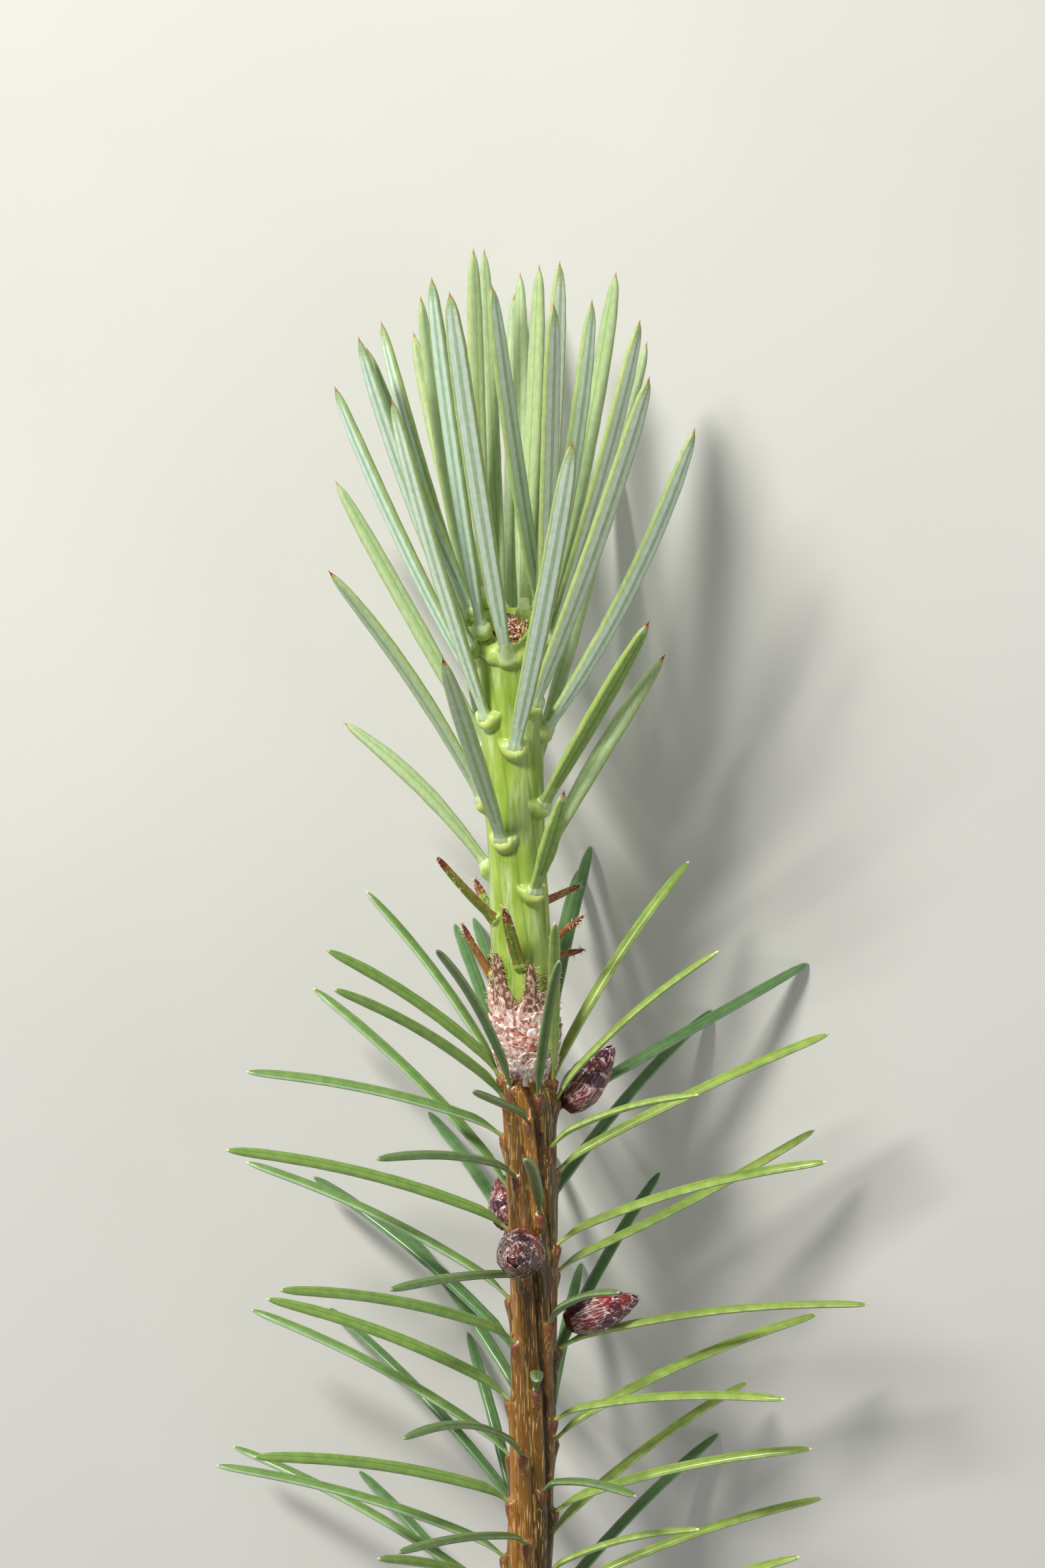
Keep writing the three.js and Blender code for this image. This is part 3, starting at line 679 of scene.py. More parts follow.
def wrap_stem(name, radius, around, along, finishes, marks, foot_rings=(), end_rings=()):
    """A closed skin round the stem. The rings that close its foot take the second finish."""

    def ring(place, size):
        return on_stem(around[0], place + np.zeros(BARK_SIDES), size)

    skin = [ring(*row) for row in zip(along, radius)]
    rings = [ring(*row) for row in foot_rings] + skin + [ring(*row) for row in end_rings]
    points, faces = closed_tube(rings)
    spare = [len(closing) * BARK_SIDES for closing in (foot_rings, end_rings)]
    marks = {mark: np.pad(values.ravel(), spare) for mark, values in marks.items()}
    slots = [1] * len(foot_rings) + [0] * (len(rings) - 1 - len(foot_rings))
    face_slots = [*np.repeat(slots, BARK_SIDES).tolist(), slots[0], slots[-1]]
    return mesh_piece(name, points, faces, finishes, face_slots, marks)


def leaf_pegs(needles, around, along):
    """The pegs that carry the old needles: steep above, and run out down the ridge."""
    pegs = np.zeros_like(along)
    for needle in needles:
        right, above = near_leaf(needle, around, along)
        above = above + PETIOLE_DROP
        slope = np.where(above < 0, bell(above, PEG_BELOW), bell(above, PEG_ABOVE))
        half = PEG_HALF - PEG_NARROWING * np.clip(-above, 0, 2)
        pegs = np.maximum(pegs, slope * bell(right, half))
    return pegs


def brown_bark(needles):
    places = np.arange(BROWN_FOOT, BROWN_END, BARK_STEP)
    around, along, across, rank = cushion_grid(BROWN, places)
    below, owner = leaf_above(BROWN, along, rank)
    turn, share = around / 360, along / BROWN_END
    ridge_turn = turn - TURN_PER_LEAF * leaf_at(BROWN, along) / 360
    # The groove mark shapes the grooves and also darkens them in colour as painted shade, wide and dark
    # where they run deep
    deep = smooth(*DEEP_SPAN, hills("groove depth", ridge_turn, share))
    groove = smooth(GROOVE_START - GROOVE_WIDENING * deep, GROOVE_END, np.abs(across))
    groove *= SHALLOW_SHARE + (1 - SHALLOW_SHARE) * deep
    golden = smooth(*GOLDEN_EDGE, np.abs(across)) * (1 - deep)
    golden *= smooth(*GOLDEN_SPAN, hills("golden lines", turn, share))
    pegs = leaf_pegs(needles, around, along)
    radius = girth(along) - GROOVE_DEPTH * groove - RIDGE_CROWN * across ** 2
    radius -= CUSHION_SLACK * smooth(*CUSHION_SLOPE, below)
    radius += hills("brown fine", turn, share) + hills("brown broad", turn, share)
    radius += PEG_HEIGHT * pegs
    tints = rng.uniform(*LEAF_TINTS, BROWN["last"] - BROWN["first"] + 1)
    # Painted shade: the bark darker toward the right side, with random darker and lighter patches besides
    shade = RIGHT_SIDE_PAINTED_SHADE * np.sin(np.radians(around)) + hills("brown shade", turn, share)
    marks = {
        "groove": groove * GROOVE_SHADE, "line": golden * GOLDEN_SHADE,
        "peg": PEG_SHADE * smooth(*PEG_SPAN, pegs),
        "tint": np.clip(tints[owner - BROWN["first"]] - shade, 0, 1),
    }
    rings = [(BROWN_FOOT, radius[0] * size) for size in CUT_RINGS]
    finishes = [brown_bark_finish(), cut_wood_finish()]
    piece = wrap_stem("bark_last_year", radius, around, along, finishes, marks, foot_rings=rings)
    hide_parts("stem_last_year")


def rim_droop(azimuth):
    """How much lower the green stem's hollow end lies, toward the front."""
    return RIM_DROOP * bell(half_turn(np.asarray(azimuth)), RIM_HALF)


def shown_foot(needle):
    """How far a foot in the tuft stands from its place on the spiral."""
    turn, inset, rise = FOOT_MOVES.get(needle.leaf, (0, 0, 0))
    if needle.leaf < GREEN["ring"]:
        rise -= rim_droop(needle.azimuth + turn) * smooth(RIM_BEND, GREEN_RIM, needle.seat)
    return turn, inset, rise


def leaf_knobs(needles, around, along):
    """Horseshoe knobs that hold the new needles below the tuft, the spread foot of each needle,
    and the pale wedge over it."""
    knobs, feet, wedges = (np.zeros_like(along) for _ in range(3))
    for needle in needles:
        if needle.leaf <= GREEN["ring"]:
            continue
        size = SMALL_KNOB if needle.leaf > LAST_LONG_LEAF else 1
        right, above = near_leaf(needle, around, along)
        right = right / (KNOB_HALF * size)
        above = above - KNOB_LOBES * right ** 2
        reach = np.where(above < 0, KNOB_DROP, KNOB_CREST) * size
        ball = np.clip(1 - right ** 2 - (above / reach) ** 2, 0, 1)
        ball = KNOB_DOME * ball * (2 - ball) + (1 - KNOB_DOME) * smooth(0, KNOB_FLAT, ball)
        ball *= 1 - KNOB_SADDLE * bell(right, SADDLE_HALF) * smooth(*SADDLE_SLOPE, above)
        knobs = np.maximum(knobs, ball * size)
        foot = bell(above - FOOT_HIGH, FOOT_TALL) * bell(right, FOOT_WIDE)
        feet = np.maximum(feet, FOOT_PALE * foot)
        higher = np.clip(above - WEDGE_START, 0, None) / WEDGE_LENGTH
        wedge = smooth(0, WEDGE_FADE, np.clip(1 - np.abs(right) * WEDGE_TAPER - higher, 0, 1))
        wedges = np.maximum(wedges, np.where(above > WEDGE_LOWEST, wedge, 0))
    return knobs, feet, wedges


def green_bark(needles):
    places = np.arange(GREEN_FOOT, GREEN_RIM, BARK_STEP)
    around, along, across, _ = cushion_grid(GREEN, places)
    turn, share = around / 360, (along - GREEN_FOOT) / (GREEN_RIM - GREEN_FOOT)
    line = smooth(*FINE_LINE, np.abs(across))
    knobs, feet, wedges = leaf_knobs(needles, around, along)
    bloom = smooth(*BLOOM_SPAN, hills("bloom", turn, share))
    pale = np.maximum(bell(across, STRIPE_HALF) * STRIPE_SHADE + BLOOM_SHADE * bloom, wedges)
    radius = girth(along) - LINE_DEPTH * line - GREEN_CROWN * across ** 2
    radius += hills("green fine", turn, share) + hills("green broad", turn, share)
    radius += KNOB_HEIGHT * knobs
    marks = {"groove": line * LINE_SHADE, "knob": knobs, "pale": pale, "flare": feet}
    droop = rim_droop(around)
    shown = along - droop * smooth(RIM_BEND, GREEN_RIM, along)
    rings = [(place - droop[0] * size / CUP_ROWS[0][1], size) for place, size in CUP_ROWS]
    finishes = [green_bark_finish()]
    piece = wrap_stem("bark_new", radius, around, shown, finishes, marks, end_rings=rings)
    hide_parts("stem_new")


# Needle blades. A section's outline runs round the blade: share of its half width, share of its
# half thickness with the outer face below zero, and the strip that starts there.
NEW_OUTLINE = [
    (-1.0, -0.05, "margin"), (-0.95, -0.5, "margin"), (-0.82, -0.82, "margin"), (-0.7, -0.92, "band"),
    (-0.45, -0.88, "band"), (-0.2, -0.92, "rib"), (0.0, -1.04, "rib"), (0.2, -0.92, "band"),
    (0.45, -0.88, "band"), (0.7, -0.92, "margin"), (0.82, -0.82, "margin"), (0.95, -0.5, "margin"),
    (1.0, -0.05, "margin"), (0.94, 0.45, "inner"), (0.72, 0.86, "inner"), (0.4, 1.0, "inner"),
    (0.1, 0.92, "groove"), (-0.1, 0.92, "inner"), (-0.4, 1.0, "inner"), (-0.72, 0.86, "inner"),
    (-0.94, 0.45, "margin"),
]
OLD_OUTLINE = [
    # The narrow strips at both edges carry a painted highlight
    (-0.98, 0.2, "painted_shine"), (-0.98, -0.2, "edge"), (-0.9, -0.52, "edge"), (-0.7, -0.8, "under"),
    (-0.42, -0.94, "under"), (-0.16, -0.94, "rib"), (0.0, -1.02, "rib"), (0.16, -0.94, "under"),
    (0.42, -0.94, "under"), (0.7, -0.8, "edge"), (0.9, -0.52, "edge"), (0.98, -0.2, "painted_shine"),
    (0.98, 0.2, "edge"), (0.9, 0.5, "upper"), (0.66, 0.84, "upper"), (0.34, 0.98, "upper"),
    (0.08, 0.88, "groove"), (-0.08, 0.88, "upper"), (-0.34, 0.98, "upper"), (-0.66, 0.84, "upper"),
    (-0.9, 0.5, "edge"),
]

# Width and thickness of a blade in millimetres: at places from the foot, at shares of the length,
# and at places back from the tip. Strips near the tip are given by how far back from it they start.
NEW_FORM = {
    "outline": NEW_OUTLINE,
    "foot": [(-0.35, 1.1, 0.9), (0.05, 1.4, 1.05), (0.35, 1.3, 0.98), (0.65, 1.04, 0.78),
             (1.1, 0.92, 0.64), (2.4, 1.04, 0.6), (5, 1.26, 0.64)],
    "blade": [(0.42, 1.46, 0.72), (0.68, 1.44, 0.7)],
    "tip": [(5, 1.32, 0.66), (3.4, 1.16, 0.6), (2.0, 0.94, 0.54), (1.6, 0.83, 0.51), (1.2, 0.7, 0.46),
            (0.75, 0.46, 0.36), (0.5, 0.24, 0.22), (0.25, 0.1, 0.1), (0.0, 0.03, 0.03)],
    "foot_end": 0.8, "ends": [(0.45, "spike"), (0.7, "ember"), (1.2, "inner")],
    "fades": [(1.5, "fade"), (2.0, "haze")], "neck": 2.4, "whole": 13,
}
TUFT_FORM = {
    **NEW_FORM,
    "foot": [(-0.35, 1.2, 1.0), (0.05, 1.16, 0.95), (0.35, 1.0, 0.82), (0.65, 0.88, 0.68),
             (1.1, 0.85, 0.6), (2.4, 1.0, 0.58), (5, 1.26, 0.64)],
}
OLD_FORM = {
    "outline": OLD_OUTLINE,
    "foot": [(-0.4, 0.5, 0.46), (0.0, 0.42, 0.4), (0.4, 0.34, 0.32), (0.8, 0.36, 0.33),
             (1.3, 0.52, 0.4), (1.9, 0.76, 0.5), (2.8, 0.98, 0.58)],
    "blade": [(0.3, 1.1, 0.62), (0.8, 1.04, 0.6)],
    "tip": [(2.6, 0.94, 0.56), (1.4, 0.78, 0.5), (0.7, 0.54, 0.4), (0.3, 0.3, 0.26),
            (0.1, 0.14, 0.13), (0.0, 0.04, 0.04)],
    "foot_end": 0.9, "ends": [(0.3, "spike")], "fades": [], "neck": 0, "whole": 6,
}
SCALE_FORM = {
    "outline": NEW_OUTLINE,
    "foot": [(-0.3, 1.1, 0.8), (0.0, 1.15, 0.8), (0.4, 1.06, 0.6), (0.9, 1.0, 0.45)],
    "blade": [(0.45, 0.98, 0.4), (0.7, 0.84, 0.36)],
    "tip": [(0.8, 0.7, 0.34), (0.35, 0.5, 0.28), (0.12, 0.34, 0.2), (0.0, 0.16, 0.1)],
    "foot_end": 0.2, "ends": [(0.5, "spike"), (1.0, "ember"), (1.5, "amber")], "fades": [],
    "neck": 0, "whole": 1,
}
FORM_END_SHARE = 0.85
BLADE_ROWS, ROW_GAP = 24, 0.07

# Blades droop at the foot, waver, and are rolled or turned by degrees. The limits are azimuths.
PETIOLE_LENGTH, CURL_LENGTH, SINK_LIMIT = 3.0, 1.2, 1.3
WAVE_DEPTH, WAVE_RATE, WAVE_STARTS = 0.02, 2.1, 6
ROLLS = {"right": 7, "left": 50, "far_left": 10, "front": 30, "back": 30}
ROLL_SPREAD = 8
FRONT_LIMIT, BACK_LIMIT, FAR_LEFT_LIMIT = 40, 130, -86
TURN_FRONT, TURN_BACK, TURN_LIMIT = 52, -40, 100
FRONT_BREADTH, SIDE_BREADTH, BREADTH_SPREAD = 1.12, 0.98, 0.06
FORWARD_BREADTH, SLENDER_BREADTH = 0.86, 0.7
RING_BALL, RING_START, LIP_START = 0.95, 1.5, 0.9
CURL, LIP_CURL = 0.18, 0.32


def side_of(azimuth):
    """Which way a leaf points round the stem, seen from the front."""
    azimuth = half_turn(azimuth)
    if abs(azimuth) < FRONT_LIMIT:
        return "front"
    if abs(azimuth) > BACK_LIMIT:
        return "back"
    if azimuth > 0:
        return "right"
    return "left" if azimuth > FAR_LEFT_LIMIT else "far_left"


def blade_rows(form, length):
    """Places along the blade with the width and thickness there. Short needles shrink both ends."""
    whole = min(1, length / form["whole"])
    table = [(share * length, *size) for share, *size in form["blade"]]
    foot_room, tip_room = FORM_END_SHARE * table[0][0], FORM_END_SHARE * (length - table[-1][0])
    table += [(row[0] * whole, *row[1:]) for row in form["foot"] if row[0] * whole < foot_room]
    table += [(length - row[0] * whole, *row[1:]) for row in form["tip"] if row[0] * whole < tip_room]
    table.sort(key=lambda row: row[0])
    places, widths, depths = zip(*table)
    even = np.linspace(places[0], places[-1], BLADE_ROWS)
    at = np.sort(np.concatenate([places, even[1:-1]]))
    at = at[np.concatenate([[True], np.diff(at) > ROW_GAP])]
    return at, np.interp(at, places, widths), np.interp(at, places, depths)


def blade_frame(needle, ahead, wobble):
    """Directions across the blade and through it to the inner face, at each row."""
    azimuth = half_turn(needle.azimuth)
    aside = abs(math.sin(math.radians(azimuth)))
    if needle.wood is BROWN:
        roll = math.radians((ROLLS[side_of(azimuth)] + wobble) * aside)
        inward = ALONG * math.cos(roll) + UP * math.sin(roll)
    else:
        turn = TURN_FRONT if abs(azimuth) < TURN_LIMIT else TURN_BACK
        turn = math.radians((turn + wobble) * aside)
        inward = -outward(azimuth) * math.cos(turn) - UP * math.sin(turn)
    through = inward - ahead * (ahead @ inward)[:, None]
    through /= np.linalg.norm(through, axis=1)[:, None]
    return np.cross(through, ahead), through


def first_ahead(table, back, otherwise):
    """The strip of the table's first row that starts farther back from the tip than this place."""
    return next((strip for start, strip in table if back < start), otherwise)


def strip_at(form, strip, middle, back):
    """The strip that takes over, at distances from the blade's foot and back from its tip."""
    if strip == "band":
        strip = first_ahead(form["fades"], back, strip)
    if middle < form["neck"] and strip in ("band", "rib"):
        strip = "haze"
    if middle < form["foot_end"]:
        strip = "foot"
    return first_ahead(form["ends"], back, strip)


def blade(needle, form, shades, drop, breadth, hidden=0, curl=0):
    """Points, faces and the finish of each face of one needle."""
    length = needle.length - hidden
    at, widths, depths = blade_rows(form, length)
    widths = widths * (breadth + rng.uniform(-BREADTH_SPREAD, BREADTH_SPREAD))
    sink = drop * np.clip(1 - at / PETIOLE_LENGTH, 0, SINK_LIMIT) ** 2
    dip = curl * np.clip(1 - at / CURL_LENGTH, 0, SINK_LIMIT) ** 2
    middles = needle.at(at + hidden) - sink[:, None] * ALONG - dip[:, None] * outward(needle.azimuth)
    ahead = np.gradient(middles, axis=0)
    ahead /= np.linalg.norm(ahead, axis=1)[:, None]
    across, through = blade_frame(needle, ahead, rng.uniform(-ROLL_SPREAD, ROLL_SPREAD))
    wave = 1 + WAVE_DEPTH * np.sin(at * WAVE_RATE + rng.uniform(0, WAVE_STARTS))
    outline = form["outline"]
    side = np.array([row[0] for row in outline]) * (widths * wave)[:, None] / 2
    deep = np.array([row[1] for row in outline]) * depths[:, None] / 2
    rings = middles[:, None] + side[..., None] * across[:, None] + deep[..., None] * through[:, None]
    strips = []
    for middle in (at[:-1] + at[1:]) / 2:
        strips += [shades[strip_at(form, row[2], middle, length - middle)] for row in outline]
    return (*closed_tube(rings), [*strips, shades["foot"], shades["spike"]])


def join_blades(name, blades, finishes, nodes):
    slots = [place for _, _, strips in blades for place in strips]
    piece = mesh_piece(name, *merged(blades), finishes, slots)
    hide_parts(*nodes)


# The light and the dark tone of each strip
# Silver that some strips mix in as a painted sheen
PAINTED_SHEEN_SILVER = (0.78, 0.86, 0.78)
NEW_COLOURS = {
    "band": ((0.86, 0.93, 0.87), (0.80, 0.88, 0.80)),
    "haze": ((0.80, 0.88, 0.78), (0.75, 0.84, 0.72)),
    "fade": ((0.73, 0.81, 0.63), (0.68, 0.76, 0.58)),
    "rib": ((0.70, 0.80, 0.65), (0.64, 0.75, 0.59)),
    "margin": ((0.69, 0.77, 0.51), (0.62, 0.71, 0.47)),
    "inner": ((0.67, 0.75, 0.56), (0.61, 0.70, 0.51)),
    "groove": ((0.58, 0.69, 0.42), (0.54, 0.65, 0.39)),
    "foot": ((0.82, 0.88, 0.72), (0.75, 0.83, 0.60)),
    "ember": ((0.69, 0.72, 0.42), (0.64, 0.64, 0.36)),
    "spike": ((0.74, 0.61, 0.47), (0.60, 0.45, 0.34)),
}
OLD_COLOURS = {
    "upper": ((0.52, 0.63, 0.31), (0.45, 0.57, 0.27)),
    "under": ((0.56, 0.65, 0.40), (0.50, 0.60, 0.36)),
    "rib": ((0.48, 0.59, 0.29), (0.42, 0.54, 0.26)),
    "edge": ((0.55, 0.66, 0.33), (0.48, 0.60, 0.28)),
    # A pale line along each edge: a painted highlight
    "painted_shine": ((0.72, 0.82, 0.60), (0.54, 0.66, 0.35)),
    "groove": ((0.42, 0.54, 0.25), (0.38, 0.50, 0.23)),
    "foot": ((0.68, 0.74, 0.42), (0.56, 0.64, 0.32)),
    "spike": ((0.88, 0.87, 0.70), (0.74, 0.74, 0.52)),
}
SCALE_COLOURS = {
    "band": ((0.56, 0.62, 0.24), (0.46, 0.53, 0.19)),
    "rib": ((0.46, 0.54, 0.19), (0.39, 0.47, 0.16)),
    "margin": ((0.62, 0.50, 0.26), (0.52, 0.38, 0.19)),
    "inner": ((0.58, 0.67, 0.30), (0.48, 0.58, 0.24)),
    "groove": ((0.48, 0.60, 0.24), (0.40, 0.52, 0.20)),
    "foot": ((0.72, 0.80, 0.40), (0.60, 0.70, 0.30)),
    "amber": ((0.60, 0.44, 0.19), (0.48, 0.33, 0.14)),
    "ember": ((0.56, 0.28, 0.17), (0.38, 0.18, 0.12)),
    "spike": ((0.46, 0.27, 0.21), (0.30, 0.17, 0.14)),
}

# The slender small leaves beside the stem have dried to orange and brown
RUSTY_LEAVES = (2, 1, -2, -4)
RUSTY_COLOURS = {
    "band": ((0.68, 0.47, 0.20), (0.52, 0.33, 0.14)), "rib": ((0.56, 0.48, 0.18), (0.45, 0.38, 0.14)),
    "margin": ((0.66, 0.40, 0.24), (0.50, 0.27, 0.15)), "inner": ((0.66, 0.46, 0.22), (0.50, 0.32, 0.14)),
    "groove": ((0.56, 0.44, 0.20), (0.44, 0.32, 0.14)), "foot": ((0.66, 0.60, 0.26), (0.56, 0.46, 0.20)),
    "amber": ((0.62, 0.34, 0.18), (0.46, 0.22, 0.13)), "ember": ((0.52, 0.26, 0.18), (0.36, 0.17, 0.13)),
}

# Each side's own tint: lighter or darker, cooler, and silvery on the edges; on the old needles these are
# painted light and shade
NEW_TINTS = {"sunny": (1.02, -0.02, 0), "mild": (1.0, 0.0, 0), "sage": (0.96, 0.02, 0)}
# Old needles are painted lighter on the right, darker in front and behind and bluer behind, with a
# painted silver sheen on the edges
OLD_SIDE_LIGHT_AND_SHADE = {
    "right": (1.08, -0.04, 0.1), "left": (1.0, 0.02, 0.1), "far_left": (0.94, 0.05, 0.5),
    "front": (0.84, 0.05, 0.12), "back": (0.8, 0.11, 0.2),
}
# Strips that take the painted silver sheen
PAINTED_SHEEN_STRIPS = ("edge", "painted_shine", "spike")

# Short needles low on the green stem that show hardly any of the pale bands, and needles whose bands are
# greyed with painted shade
PLAIN_LEAVES, PAINTED_SHADE_LEAVES = (-5, -7, -10), (-8, -11)
RED_TIP = {
    "ember": ((0.72, 0.62, 0.28), (0.68, 0.52, 0.24)), "spike": ((0.56, 0.28, 0.18), (0.42, 0.18, 0.13)),
}
PLAIN_COLOURS = {
    "band": ((0.60, 0.71, 0.40), (0.53, 0.65, 0.34)), "haze": ((0.66, 0.75, 0.46), (0.60, 0.70, 0.40)),
    "fade": ((0.60, 0.71, 0.40), (0.53, 0.65, 0.34)), "rib": ((0.50, 0.63, 0.28), (0.45, 0.58, 0.24)),
    "margin": ((0.66, 0.75, 0.42), (0.60, 0.70, 0.36)), **RED_TIP,
}
# Bands and ribs greyed with painted shade, with red tips
PAINTED_SHADE_BAND_COLOURS = {
    "band": ((0.70, 0.77, 0.66), (0.64, 0.72, 0.60)), "haze": ((0.70, 0.77, 0.63), (0.64, 0.72, 0.58)),
    "rib": ((0.60, 0.69, 0.50), (0.55, 0.65, 0.45)), **RED_TIP,
}


def tone(colour, factor, cool=0.0, sheen=0.0):
    """The same colour lighter or darker, cooler by a share, and mixed by another with silver as a painted
    sheen.
    """
    red, green, blue = (c * factor for c in colour)
    cooler = (red * (1 - cool), green, blue + cool * 0.5)
    return tuple(min(1, c * (1 - sheen) + s * sheen) for c, s in zip(cooler, PAINTED_SHEEN_SILVER))


def tinted(colours, factor, cool, sheen):
    """The colours of all strips in one side's tint, with a painted silver sheen on the strips that take
    it.
    """
    return {
        strip: tuple(tone(c, factor, cool, sheen if strip in PAINTED_SHEEN_STRIPS else 0) for c in pair)
        for strip, pair in colours.items()
    }


def shade_sets(finishes, looks, grain, roughness, depth):
    """One finish for each strip of each look. Returns the strips' places in the list of finishes."""
    places = {}
    for look, colours in looks.items():
        places[look] = {strip: len(finishes) + place for place, strip in enumerate(colours)}
        for strip, (light, dark) in colours.items():
            finishes.append(plain_finish(f"{look}_{strip}", light, dark, grain, roughness, depth))
    return places


def old_needles(needles):
    finishes = []
    looks = {f"old_{side}": tinted(OLD_COLOURS, *tint) for side, tint in OLD_SIDE_LIGHT_AND_SHADE.items()}
    shades = shade_sets(finishes, looks, (1.1, 1.1, 1.1), 0.28, 0.01)
    blades = []
    for needle in needles:
        side = side_of(needle.azimuth)
        breadth = FORWARD_BREADTH if side == "front" and needle.leaf < 0 else 1
        blades.append(blade(needle, OLD_FORM, shades[f"old_{side}"], PETIOLE_DROP, breadth, 0, CURL))
    nodes = [f"needles_old_{rank + 1}" for rank in range(RIDGES)]
    join_blades("needles_old", blades, finishes, nodes)


def long_leaf(needle, shades):
    """One flat needle of the new wood, in the tint of its side of the stem."""
    side = side_of(needle.azimuth)
    tint = (("sage", "mild") if "left" in side else ("sunny", "mild"))[rng.integers(2)]
    if needle.leaf in PLAIN_LEAVES:
        tint = "plain"
    # These needles take bands greyed with painted shade
    if needle.leaf in PAINTED_SHADE_LEAVES:
        tint = "dull"
    shade = shades[f"new_{tint}"]
    breadth = SIDE_BREADTH if side == "back" or "left" in side else FRONT_BREADTH
    if needle.leaf > GREEN["ring"]:
        return blade(needle, NEW_FORM, shade, 0, breadth)
    hidden, curl = (LIP_START, LIP_CURL) if needle.leaf == GREEN["ring"] else (RING_START, 0)
    return blade(needle, TUFT_FORM, shade, 0, breadth, hidden, curl)


def new_needles(needles):
    finishes = []
    looks = {f"new_{tint}": tinted(NEW_COLOURS, *values) for tint, values in NEW_TINTS.items()}
    looks["new_plain"] = {**NEW_COLOURS, **PLAIN_COLOURS}
    looks["new_dull"] = {**NEW_COLOURS, **PAINTED_SHADE_BAND_COLOURS}
    shades = shade_sets(finishes, looks, (3, 1.2, 3), 0.5, 0.01)
    small = {"scale_leaf": SCALE_COLOURS, "rusty_leaf": {**SCALE_COLOURS, **RUSTY_COLOURS}}
    shades.update(shade_sets(finishes, small, (4, 2, 4), 0.5, 0.04))
    blades = []
    for needle in needles:
        if needle.leaf in RUSTY_LEAVES:
            blades.append(blade(needle, SCALE_FORM, shades["rusty_leaf"], 0, SLENDER_BREADTH))
        elif needle.leaf > LAST_LONG_LEAF:
            blades.append(blade(needle, SCALE_FORM, shades["scale_leaf"], 0, 1))
        else:
            blades.append(long_leaf(needle, shades))
    nodes = [f"needles_new_{rank + 1}" for rank in range(RIDGES)]
    join_blades("needles_new", blades, finishes, nodes)


# Thin scales, as patches of a surface that they lie on

SCALE_ROWS, SCALE_COLUMNS = 8, 10
SCALE_ROLL, COLUMN_FOLD, POINT_FOLD, FLAT_FOOT = 0.45, 0.7, 0.5, 0.3


def scale_patch(surface, middle, half, foot, tip, outline, lift, crumple):
    """One scale: rows of points on the surface from its foot to its tip, and its faces."""
    row, column = np.meshgrid(np.linspace(0, 1, SCALE_ROWS), np.linspace(-1, 1, SCALE_COLUMNS),
                              indexing="ij")
    width = between(outline, row)
    rise = between(lift, row) * (1 - SCALE_ROLL * column ** 2)
    folds = COLUMN_FOLD * rng.uniform(-1, 1, SCALE_COLUMNS) + POINT_FOLD * rng.uniform(-1, 1, row.shape)
    rise = rise + crumple * folds * smooth(0, FLAT_FOOT, row)
    points = surface(middle + half * width * column, foot + (tip - foot) * row, rise)
    at = np.arange(row.size).reshape(row.shape)
    faces = np.stack([at[:-1, :-1], at[:-1, 1:], at[1:, 1:], at[1:, :-1]], axis=-1)
    return points.reshape(-1, 3), faces.reshape(-1, 4).tolist()


def is_fringe(face_number):
    """Whether a face of a scale lies along its tip or its sides."""
    row, column = divmod(face_number, SCALE_COLUMNS - 1)
    return row >= SCALE_ROWS - 2 or (column in (0, SCALE_COLUMNS - 2) and row > 1)


def join_patches(name, patches, finishes, slots, thickness):
    piece = mesh_piece(name, *merged(patches), finishes, slots)
    apply_modifier(piece, "SUBSURF", levels=1, render_levels=1)
    apply_modifier(piece, "SOLIDIFY", thickness=thickness * MM, offset=0)
    return piece


# Buds. Places and lengths of their scales are shares of the bud, and half widths are degrees.

BUD_SCALES, BASAL_SCALES, BUD_SIDES = 24, 2, 32
BUD_SKIN, BUD_CORE, BUD_CORE_LENGTH = 0.96, 0.92, 0.98
BUD_SCALE_START, BUD_SCALE_SPREAD = 0.02, 0.72
BUD_SCALE_LENGTH, BUD_SCALE_LOSS = 0.34, 0.06
BUD_SCALE_HALF, BUD_SCALE_GAIN, BUD_SCALE_WANDER = 52, 10, 8
BUD_SCALE_OUTLINE = [(0, 0.8), (0.35, 1), (0.7, 0.82), (0.9, 0.45), (1, 0.12)]
BUD_SCALE_LIFT = [(0, 0.0), (0.4, 0.1), (0.8, 0.17), (1, 0.14)]
BUD_SCALE_CLOSING, BUD_TIP_CLOSING, BUD_SCALE_CLEARANCE = 0.5, 0.5, 0.05
BUD_CRUMPLE, SCALE_THICKNESS, STEEP_AIM = 0.03, 0.05, 0.9

# The buds darkened with painted shade, the one that is slimmer, and those redder than the rest
BUD_PAINTED_SHADES = {"bud_front": 0.8, "bud_left": 0.85}
BUD_LOOKS = {"bud_left": {"length": 4.9, "radius": 1.35, "aim": unit(np.array([-0.12, 0.9, -0.4]))}}
CRIMSON_BUDS, CRIMSON, DARK_RED = ("bud_upper_right", "bud_front"), (0.58, 0.09, 0.15), (0.48, 0.12, 0.16)


def bud_surface(bud):
    """The bud's skin, from degrees round it, a share of its length and millimetres outward."""
    side = unit(np.cross(bud["aim"], UP if abs(bud["aim"][2]) < STEEP_AIM else RIGHT))
    other = np.cross(bud["aim"], side)

    def surface(angle, share, rise):
        radius = between(BUD_PROFILE, share) * bud["radius"] * BUD_SKIN + rise
        angle = np.radians(angle)[..., None]
        spoke = np.cos(angle) * side + np.sin(angle) * other
        middle = bud["root"] + share[..., None] * bud["length"] * bud["aim"]
        return middle + radius[..., None] * spoke

    return surface


